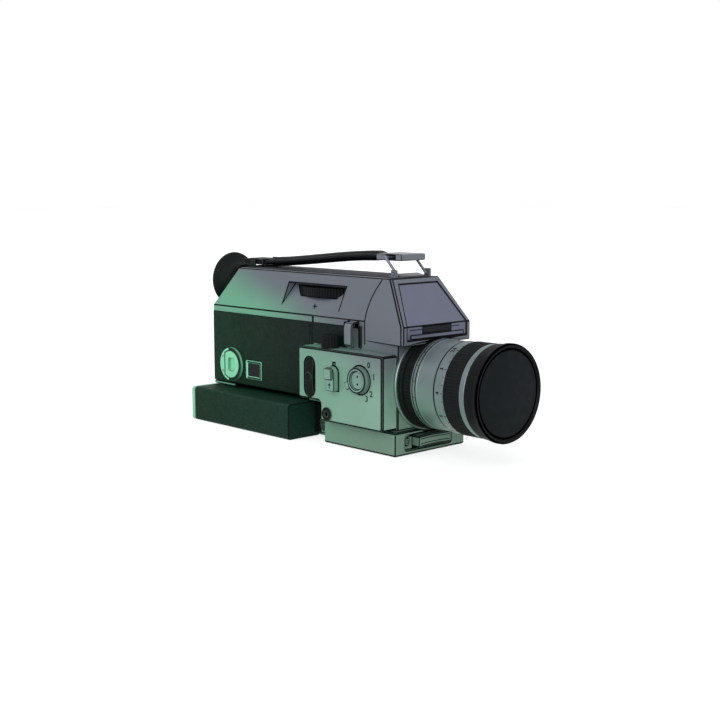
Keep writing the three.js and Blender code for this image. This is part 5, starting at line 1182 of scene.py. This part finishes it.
def dress_front():
    """Bright front ring, filter ring, front element and cap."""
    low, high, reach = extent("front_ring", LENS_AXIS)
    profile = ring_profile(low, high, BORE, reach, 0.4, 0.4)
    turned("bright_front_ring", "front_ring", "x", LENS_AXIS, profile, SLEEVE)
    low, high, reach = extent("filter_ring", LENS_AXIS)
    crest = reach - FILTER_WALL
    root = crest - THREAD_DEPTH
    profile = [(low, FILTER_BORE), (low, reach - 1.2), (low + 1.6, reach)]
    profile += [(high, reach), (high, crest)]
    thread = high - 0.4
    while thread > high - 3.6:
        profile += [(thread, crest), (thread - 0.2, root), (thread - 0.4, crest)]
        thread -= THREAD_PITCH
    profile += [(low + 2.9, reach - 3.4), (low + 2.9, FILTER_BORE), (low, FILTER_BORE)]
    turned("filter_thread_ring", "filter_ring", "x", LENS_AXIS, profile, BLACK_RING)
    low, high, reach = extent("front_glass", LENS_AXIS)
    edge, rim = low + 4.5, reach - 1.3
    shares = stepped(1.0, 0.0, 10)
    dome = [(edge + (high - edge) * (1 - share**2), rim * share) for share in shares]
    profile = [(low, 0.0), (low, reach), (edge, reach), *dome]
    turned("front_element", "front_glass", "x", LENS_AXIS, profile, GLASS)
    dress_cap()


CAP_DISH, CAP_WALL = 1.0, 1.3
CAP_RIM, CAP_RIM_LONG = 2.2, 3.4
CAP_DISC_GAP, CAP_DISC_THICK = 1.9, 0.25
CAP_LINE = 1.0


def dress_cap():
    """Slip-on cap: a plain skirt, a wider raised rim and a grained face inside it."""
    node = "lens_cap"
    low, high, reach = extent(node, LENS_AXIS)
    skirt = extent(node, LENS_AXIS, low - 0.1, low + 1)[2]
    bore = skirt - CAP_WALL
    floor = high - CAP_DISH
    filter_end = extent("filter_ring", LENS_AXIS)[1] + 0.3
    rim = reach - CAP_RIM
    profile = [
        (floor, 0.0),
        (floor, rim - 0.6),
        (floor + 0.3, rim - 0.2),
        (high - 0.25, rim),
        (high, rim + 0.35),
        (high, reach - CAP_LINE),
        (high - 0.15, reach - CAP_LINE),
        (high - 0.4, reach - 0.45),
        (high - CAP_LINE, reach - 0.15),
        (high - CAP_LINE, reach),
        (high - CAP_RIM_LONG + 0.3, reach),
        (high - CAP_RIM_LONG - 0.2, reach - 0.3),
        (high - CAP_RIM_LONG - 0.6, skirt),
        (low + 0.4, skirt),
        (low, skirt - 0.4),
        (low, bore),
        (filter_end, bore),
        (filter_end, 0.0),
    ]
    turned("slip_on_cap", node, "x", LENS_AXIS, profile, BLACK_PLASTIC)
    near = CAP_LINE - 0.02
    profile = [
        (high - 0.02, reach - near),
        (high - 0.25, reach - 0.32),
        (high - near, reach - 0.02),
        (high - near, reach - 0.2),
        (high - 0.5, reach - 0.55),
        (high - 0.2, reach - near),
        (high - 0.02, reach - near),
    ]
    turned("cap_edge_line", node, "x", LENS_AXIS, profile, GROOVE_SHADE_AND_LINES, stands=False)
    disc, face = rim - CAP_DISC_GAP, floor + CAP_DISC_THICK
    profile = [(floor - 0.1, 0.0), (floor - 0.1, disc), (face - 0.15, disc)]
    profile += [(face, disc - 0.3), (face, 0.0)]
    turned("cap_face_disc", node, "x", LENS_AXIS, profile, CAP_FACE, stands=False)
    # Dead black in the groove between the face disc and the rim: painted shade.
    foot, edge = floor + PAINT_THICK, rim - 0.5
    profile = [(foot - 0.2, disc), (foot, disc + 0.02), (foot, edge)]
    profile += [(foot - 0.2, edge), (foot - 0.2, disc)]
    turned("cap_groove_shade", node, "x", LENS_AXIS, profile, GROOVE_SHADE_AND_LINES, stands=False)


# Eyepiece

EYE_TUBE_WALL = 1.8
EYE_RIBS, EYE_RIB_DEPTH = 40, 0.35
EYE_BORE, CUP_BORE = 9.5, 9.35
EYE_BULGE = 0.7


def dress_eyepiece():
    """Tube, focusing ring, lens and rubber cup."""
    low, high, reach = extent("eyepiece_tube", EYE_AXIS)
    profile = ring_profile(low, high, reach - EYE_TUBE_WALL, reach, rear=0.2)
    turned("finder_tube", "eyepiece_tube", "x", EYE_AXIS, profile, BLACK_RING)
    low, high, reach = extent("eyepiece_glass", EYE_AXIS)
    bulge = [(low + EYE_BULGE * share**2, reach * share) for share in stepped(0.0, 1.0, 8)]
    profile = [*bulge, (high, reach), (high, 0.0)]
    turned("eye_lens", "eyepiece_glass", "x", EYE_AXIS, profile, GLASS)
    low, high, reach = extent("diopter_ring", EYE_AXIS)
    ribs = [(low + 0.3, reach, EYE_RIB_DEPTH), (high - 0.3, reach, EYE_RIB_DEPTH)]
    profile = bored(low, high, EYE_BORE, [(low, reach - 0.3), *ribs, (high, reach - 0.3)])
    turned("eye_focus_ring", "diopter_ring", "x", EYE_AXIS, profile, BLACK_RING, EYE_RIBS)
    low, high, reach = extent("eyecup", EYE_AXIS)
    profile = [
        (high, CUP_BORE),
        (high, 10.7),
        (high - 0.3, 11.1),
        (high - 2.2, 11.6),
        (high - 3.6, 12.6),
        (high - 5.2, 14.6),
        (high - 6.8, 17.2),
        (high - 7.8, 19.0),
        (low + 1.2, reach - 0.15),
        (low + 0.5, reach),
        (low + 0.05, reach - 0.5),
        (low, reach - 1.2),
        (low + 0.6, reach - 1.9),
        (high - 7.4, 16.4),
        (high - 5.8, 13.6),
        (high - 4.4, 11.3),
        (high - 3.2, 9.9),
        (high - 3.1, CUP_BORE),
        (high, CUP_BORE),
    ]
    turned("rubber_eyecup", "eyecup", "x", EYE_AXIS, profile, BLACK_RUBBER)


# Strap

# How far the padding lifts the crown, how much thinner the bare ends are, and the length
# over which the padding rises
STRAP_PAD, STRAP_EDGE, PAD_RAMP = 1.8, 0.55, 9.0
STRAP_STEPS, STRAP_END_GAP = 60, 0.2
STITCH_INSET, STITCH_STEP = 1.5, 2.7
STITCH_LONG, STITCH_WIDE, STITCH_THICK = 1.7, 0.34, 0.08
STITCH_BOW = 0.1


def strap_course():
    """The strap's middle line as (x, height) points, and its packed half thickness."""
    columns = {}
    for corner in NODES["strap_band"].data.vertices:
        place = corner.co / MM
        columns.setdefault(round(place.x, 1), []).append(place.z)
    course = sorted((x, (min(z) + max(z)) / 2) for x, z in columns.items())
    half = (max(columns[course[0][0]]) - min(columns[course[0][0]])) / 2
    return course, half


def height_at(course, x):
    """The course's height at a place along it."""
    for (x0, z0), (x1, z1) in zip(course, course[1:]):
        if x0 <= x <= x1:
            return z0 + (z1 - z0) * (x - x0) / (x1 - x0)
    return course[-1][1]


def pad_at(x, rear, front):
    """How much of the padding stands at a place: none in the end clips, all between them."""
    ramp = min((x - rear) / PAD_RAMP, (front - x) / PAD_RAMP, 1.0)
    share = max(0.0, ramp)
    return share * share * (3 - 2 * share)


def dress_strap():
    """Padded strap band with its stitching, its metal ends and the wire bail."""
    eased("strap_front_clip", 0.5, SATIN, BRIGHT_EDGE)
    eased("strap_rear_clip", 0.4, BLACK_PLASTIC, BLACK_EDGE)
    eased("strap_bail", 0.02, SATIN)
    course, half = strap_course()
    wide = spot("strap_band")[1].y
    rear, front = spot("strap_rear_clip")[1].x, spot("strap_front_clip")[0].x
    rows = []
    for x in stepped(course[0][0] + STRAP_END_GAP, course[-1][0] - STRAP_END_GAP, STRAP_STEPS):
        middle, pad = height_at(course, x), pad_at(x, rear, front)
        edge = half - STRAP_EDGE * (1 - pad)
        crown = half + STRAP_PAD * pad
        upper = [(wide, edge * 0.35), (wide - 0.5, edge * 0.8), (wide - 1.2, edge)]
        upper += [(wide - 2.4, edge), (wide - 3.4, (edge + crown) / 2)]
        upper += [(wide * 0.35, crown), (0.0, crown)]
        row = upper + [(-y, z) for y, z in upper[-2::-1]]
        row += [(y, -z) for y, z in row[::-1]]
        rows.append([(x, y, middle + z) for y, z in row])
    mesh = as_mesh("padded_strap", lofted(rows)[0])
    strap = shown("padded_strap", mesh, [STRAP_HIDE], "strap_band", ("strap_band",))
    strap_stitches(course, half, wide, rear, front)


def strap_stitches(course, half, wide, rear, front):
    """Two rows of waxed stitches along the strap's upper face."""
    stitches = []
    count = int((front - rear - 2 * PAD_RAMP) / STITCH_STEP)
    for side in (-1, 1):
        for i in range(count):
            x = rear + PAD_RAMP + (i + 0.5) * STITCH_STEP
            bows = ((x - STITCH_LONG / 2, 0.0), (x, STITCH_BOW), (x + STITCH_LONG / 2, 0.0))
            y = side * (wide - STITCH_INSET)
            points = [(u, y, height_at(course, u) + half + rise) for u, rise in bows]
            looks = (STITCH_WIDE, (0, 0, 1), THREAD, "black_rubber", STITCH_THICK)
            stitches.append(ribbon("stitch", "strap_band", points, *looks))
    joined("strap_stitching", stitches)


# Stage

# Each lamp's place and size in metres, and its power in watts
LAMPS = {
    "key": ((-0.35, -1.3, 1.25), 1.1, 8.8),
    "front": ((1.15, -1.0, 0.42), 0.9, 14.0),
    "top": ((-0.05, 0.3, 1.7), 1.4, 6.5),
}
LAMP_AIM = (-0.06, 0.0, 0.06)
FLOOR_REACH = 8.0
FLOOR_DROP = 0.0001
FLOOR_CLEAR = (0.75, 1.0)
CLEAR_SPAN = (0.25, 1.2)
WORLD_STRENGTH = 0.55


def seen_directly(tree):
    """1 for the rays that show the backdrop: from the camera, or by way of metal or glass."""
    path = put(tree, "ShaderNodeLightPath")
    kinds = {0: path.outputs["Is Camera Ray"], 1: path.outputs["Is Transmission Ray"]}
    first = put(tree, "ShaderNodeMath", None, kinds, operation="MAXIMUM")
    kinds = {0: first.outputs[0], 1: path.outputs["Is Glossy Ray"]}
    return put(tree, "ShaderNodeMath", None, kinds, operation="MAXIMUM").outputs[0]


def stage():
    """A white floor and backdrop, soft lamps and an even world."""
    bpy.context.scene.view_settings.view_transform = "Standard"
    world = bpy.data.worlds.new("studio")
    bpy.context.scene.world = world
    world.use_nodes = True
    tree = world.node_tree
    tree.nodes.clear()
    lit = put(tree, "ShaderNodeBackground", {"Color": linear("F2F4F6"), "Strength": WORLD_STRENGTH})
    white = put(tree, "ShaderNodeBackground", {"Color": linear("FFFFFF"), "Strength": 1.0})
    links = {0: seen_directly(tree), 1: lit.outputs[0], 2: white.outputs[0]}
    mix = put(tree, "ShaderNodeMixShader", None, links)
    put(tree, "ShaderNodeOutputWorld", None, {"Surface": mix.outputs[0]})
    floor_sheet()
    for name, (place, size, power) in LAMPS.items():
        lamp(name, place, size, power)


def lamp(name, place, size, power):
    """A square soft lamp that faces the part's middle."""
    data = bpy.data.lights.new(name, "AREA")
    data.size = size
    data.energy = power
    light = placed(name, data)
    light.location = place
    aim = Vector(LAMP_AIM) - Vector(place)
    light.rotation_euler = aim.to_track_quat("-Z", "Y").to_euler()


def floor_sheet():
    """A large pale floor that shows white and keeps the part's shadow. To the camera it is a
    frosted sheet over the white backdrop, so the grip still shows where it folds down past
    it. The sheet clears with the distance from the part, where the lamps fade."""
    work = bmesh.new()
    reach = FLOOR_REACH
    corners = [(-reach, -reach), (reach, -reach), (reach, reach), (-reach, reach)]
    work.faces.new([work.verts.new((x, y, -FLOOR_DROP)) for x, y in corners])
    floor = placed("floor", freed("floor", work))
    made, tree, shader, place = start(
        "pale_floor", Roughness=0.9, Specular_IOR_Level=0.05, Base_Color=linear("A8AAAB")
    )
    away = put(tree, "ShaderNodeVectorMath", None, {0: place}, operation="LENGTH")
    share = ranged(tree, away.outputs["Value"], CLEAR_SPAN, FLOOR_CLEAR)
    path = put(tree, "ShaderNodeLightPath")
    clear = put(tree, "ShaderNodeBsdfTransparent", None, {"Color": share})
    white = put(tree, "ShaderNodeEmission", {"Color": linear("FFFFFF")}, {"Strength": share})
    links = {0: path.outputs["Is Camera Ray"], 1: white.outputs[0], 2: clear.outputs[0]}
    behind = put(tree, "ShaderNodeMixShader", None, links)
    added = put(tree, "ShaderNodeAddShader", None, {0: shader.outputs[0], 1: behind.outputs[0]})
    links = {0: seen_directly(tree), 1: shader.outputs[0], 2: added.outputs[0]}
    mix = put(tree, "ShaderNodeMixShader", None, links)
    put(tree, "ShaderNodeOutputMaterial", None, {"Surface": mix.outputs[0]}, is_active_output=True)
    floor.data.materials.append(made)


place_camera()
dress_body()
dress_controls()
dress_door()
dress_grip()
dress_lens()
dress_eyepiece()
dress_strap()
stage()
